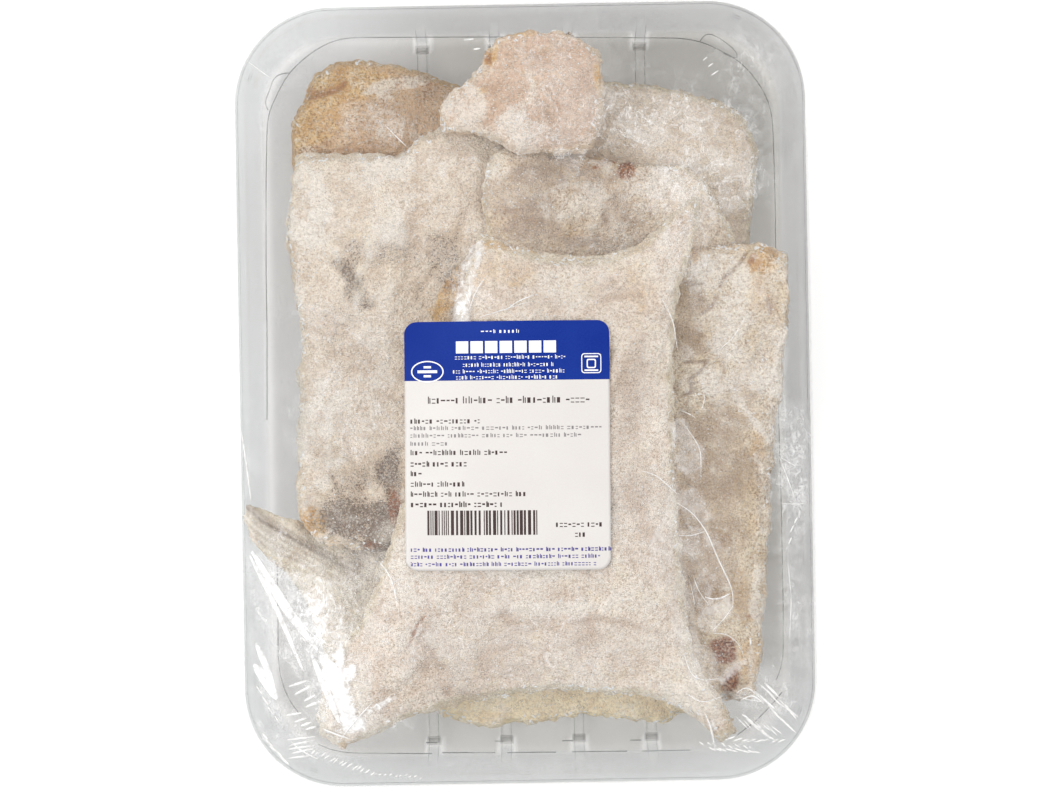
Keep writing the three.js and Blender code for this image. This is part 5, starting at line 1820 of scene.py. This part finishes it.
HEADER_LINE = 21.0
label_columns = even_steps(-29.0, 29.0, 2.0)
label_rows = sorted(list(even_steps(-36.0, 36.0, 2.0)) + [HEADER_LINE])
net_rows, net_faces = rounded_net(LABEL_HALF, 4.0, label_columns, np.array(label_rows), 8,
                                  [0.0, 1.0, 2.0, 3.0, 4.0])
label = piece_of("paper_label", on_film(net_rows[:, 0], net_rows[:, 1], 0.12), net_faces)
header_faces = [face for face in net_faces if net_rows[list(face), 1].min() > HEADER_LINE - 0.01]
header = piece_of("label_blue_field", on_film(net_rows[:, 0], net_rows[:, 1], 0.15), header_faces)
loose_points = bmesh.new()
loose_points.from_mesh(header.data)
bmesh.ops.delete(loose_points, geom=[v for v in loose_points.verts if not v.link_faces], context="VERTS")
loose_points.to_mesh(header.data)
loose_points.free()
print("label", len(label.data.polygons), "faces, blue field", len(header.data.polygons))

# %% Inks
class Print:
    """Flat printed blocks, all of one ink."""

    def __init__(self, above):
        self.above = above
        self.points = []
        self.faces = []

    def block(self, x0, x1, y0, y1):
        """A rectangle, cut into steps so that it follows the paper."""
        columns = max(1, int(math.ceil((x1 - x0) / 2.0)))
        rows = max(1, int(math.ceil((y1 - y0) / 2.0)))
        base = len(self.points)
        for j in range(rows + 1):
            for i in range(columns + 1):
                self.points.append((x0 + (x1 - x0) * i / columns, y0 + (y1 - y0) * j / rows))
        for j in range(rows):
            for i in range(columns):
                k = base + j * (columns + 1) + i
                self.faces.append((k, k + 1, k + columns + 2, k + columns + 1))

    def band(self, inner, outer):
        """The ring between two closed outlines with the same number of points."""
        base = len(self.points)
        count = len(inner)
        self.points += list(inner) + list(outer)
        for i in range(count):
            j = (i + 1) % count
            self.faces.append((base + i, base + count + i, base + count + j, base + j))

    def marks(self, x0, x1, y, height, seed, wide, gap, pen):
        """A row of bars, dashes and blocks in groups, where a line of print stands. None is a letter."""
        x = x0
        number = seed * 97
        left = 0
        while x < x1 - wide * 0.6:
            number += 1
            chance = (hashed(number, seed, 3, 5) + 1) / 2
            if left <= 0:
                left = 3 + int(chance * 7)
                x += wide * 0.8
                continue
            width = wide * (0.6 + 0.5 * chance)
            kind = int((hashed(number, seed, 4, 8) + 1) * 1.999)
            if kind == 0:
                self.block(x, x + 1.1 * pen, y, y + 0.9 * height)
                self.block(x + 0.6 * width, x + 0.6 * width + 1.1 * pen, y, y + 0.7 * height)
            elif kind == 1:
                self.block(x, x + width, y, y + pen)
                self.block(x, x + width, y + 0.5 * height, y + 0.5 * height + pen)
            elif kind == 2:
                self.block(x, x + 0.7 * width, y, y + 0.7 * height)
            else:
                self.block(x, x + width, y + 0.3 * height, y + 0.3 * height + 1.6 * pen)
            x += width + gap
            left -= 1

    def row(self, v, ends, height, seed, wide, gap, pen):
        """Marks between two points of the view, at height v of the view."""
        x0, y = label_xy(ends[0], v)
        self.marks(x0, label_xy(ends[1], v)[0], y, height, seed, wide, gap, pen)

    def piece(self, name):
        xy = np.array(self.points)
        return piece_of(name, on_film(xy[:, 0], xy[:, 1], self.above), self.faces)


print("an ink can be used")

# %% Places and outlines on the label
def label_xy(u, v):
    """From a point of the view to the label's own millimetres."""
    return (u - 507.5) * PITCH, (445.5 - v) * PITCH


def oval(x, y, rx, ry, steps=40):
    turns = [2 * math.pi * k / steps for k in range(steps)]
    return [(x + rx * math.cos(t), y + ry * math.sin(t)) for t in turns]


def soft_square(x, y, half, corner):
    """A square outline with rounded corners."""
    outline = []
    for quarter in range(4):
        for step in range(6):
            a = math.radians(90.0 * (quarter + step / 5.0))
            mx = x + (half - corner) * (1 if quarter in (0, 3) else -1)
            my = y + (half - corner) * (1 if quarter in (0, 1) else -1)
            outline.append((mx + corner * math.cos(a), my + corner * math.sin(a)))
    return outline


print("a point on the label:", [round(c, 2) for c in label_xy(457, 353)])

# %% White print on the blue field
white_ink = Print(0.26)
BLOCK_STEP = 14.6
WHITE_ROWS = [(359, 454, 568, 1), (366.5, 462, 556, 2), (373, 452, 566, 3), (379, 455, 560, 4)]
for k in range(7):
    x0, y0 = label_xy(457 + BLOCK_STEP * k, 353)
    x1, y1 = label_xy(469.4 + BLOCK_STEP * k, 341)
    white_ink.block(x0, x1, y0, y1)
for v, u0, u1, seed in WHITE_ROWS:
    white_ink.row(v, (u0, u1), 1.45, seed, 0.75, 0.32, 0.2)
white_ink.row(333, (480, 522), 1.3, 7, 0.9, 0.55, 0.22)
ox, oy = label_xy(428, 371)
white_ink.band(oval(ox, oy, 4.9, 3.1), oval(ox, oy, 5.3, 3.5))
white_ink.block(ox - 3.2, ox + 3.2, oy - 0.45, oy + 0.45)
white_ink.block(ox - 1.2, ox + 1.2, oy + 1.1, oy + 1.8)
white_ink.block(ox - 1.2, ox + 1.2, oy - 1.8, oy - 1.1)
bx, by = label_xy(592, 364)
white_ink.band(soft_square(bx, by, 2.9, 0.8), soft_square(bx, by, 3.2, 1.0))
white_ink.band(soft_square(bx, by - 0.1, 1.1, 0.4), soft_square(bx, by - 0.1, 1.5, 0.6))
white_ink.block(bx - 2.2, bx + 2.2, by + 1.9, by + 2.4)
white_ink.block(bx - 2.2, bx + 2.2, by - 2.5, by - 2.0)
print("white print:", len(white_ink.faces), "faces")

# %% Rows of marks (place, both ends, height in millimetres where it varies, seed)
DARK_ROWS = [
    (403, 425, 592, 2.5, 11), (423, 408, 482, 1.9, 12), (454.5, 408, 509, 1.9, 13),
    (466, 408, 468, 2.0, 14),
    (475.5, 408, 426, 1.9, 15), (486, 408, 466, 1.9, 16), (496, 408, 526, 1.9, 17),
    (506.5, 408, 503, 2.0, 18),
    (527, 553, 607, 2.0, 19), (537, 572, 590, 2.0, 20),
]
GREY_ROWS = [(429.5, 408, 606, 21), (437, 408, 586, 22), (445, 408, 448, 23)]
VIOLET_ROWS = [(551, 408, 610, 31), (558, 408, 601, 32), (565.5, 408, 596, 33)]
BOLD_SEEDS = (14, 18)
dark_ink = Print(0.15)
grey_ink = Print(0.15)
violet_ink = Print(0.15)
for v, u0, u1, high, seed in DARK_ROWS:
    wide = 1.35 if high > 2.2 else 1.0
    pen = 0.36 if seed in BOLD_SEEDS else 0.29
    dark_ink.row(v, (u0, u1), high, seed, wide, 0.42, pen)
for v, u0, u1, seed in GREY_ROWS:
    grey_ink.row(v, (u0, u1), 1.5, seed, 0.95, 0.42, 0.26)
for v, u0, u1, seed in VIOLET_ROWS:
    violet_ink.row(v, (u0, u1), 1.5, seed, 0.85, 0.36, 0.32 if seed == 31 else 0.26)
print("rows of marks:", len(DARK_ROWS) + len(GREY_ROWS) + len(VIOLET_ROWS))

# %% A row of upright bars
BAR_UNIT = 0.33
left_end, bars_foot = label_xy(427, 534.5)
right_end, bars_head = label_xy(538, 510)
bar_x, number = left_end, 0
while bar_x < right_end - 0.3:
    number += 1
    width = BAR_UNIT * (1 + int((hashed(number, 5, 5, 5) + 1) * 1.49))
    space = BAR_UNIT * (1 + int((hashed(number, 6, 2, 4) + 1) * 1.1))
    dark_ink.block(bar_x, min(bar_x + width, right_end), bars_foot, bars_head)
    bar_x += width + space
print("upright bars:", number)

# %% Paper and inks
INKS = {
    "label_white_print": (white_ink, tone(244, 245, 250)),
    "label_dark_print": (dark_ink, tone(60, 44, 42)),
    "label_grey_print": (grey_ink, tone(130, 126, 126)),
    "label_violet_print": (violet_ink, tone(74, 66, 140)),
}


def paper_finish(name, colour, second, rough, bend=1.45):
    make = Finish(name)
    fibres = make.noise(0.5, 3.0, 0.6)
    waves = make.noise(24.0, 2.0, 0.5)
    shade = make.mix((waves * 0.6 + fibres * 0.4).step(0.3, 0.7), colour, second)
    gloss = rough + (fibres - 0.5) * 0.12
    lean = make.bump(fibres * 0.2 + waves, 0.2, 0.3)
    sockets = {"Base Color": shade, "Roughness": gloss, "Normal": lean, "IOR": bend}
    return make.surface(make.node("ShaderNodeBsdfPrincipled", sockets=sockets))


label.data.materials.append(paper_finish("label paper", tone(225, 221, 217), tone(220, 215, 211), 0.42))
header.data.materials.append(paper_finish("blue ink", tone(13, 44, 136), tone(25, 56, 147), 0.5, 1.2))
label_pieces = [label, header]
for name, (ink, colour) in INKS.items():
    piece = ink.piece(name)
    second = tuple(min(1.0, c * 1.12) for c in colour[:3]) + (1.0,)
    piece.data.materials.append(paper_finish(name.replace("_", " "), colour, second, 0.4))
    label_pieces.append(piece)
card = label.modifiers.new("paper", "SOLIDIFY")
card.thickness = 0.09 * MM
card.offset = -1.0
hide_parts("label")
for piece in label_pieces:
    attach(piece, "root")
print("print:", {name: len(ink.faces) for name, (ink, _) in INKS.items()})
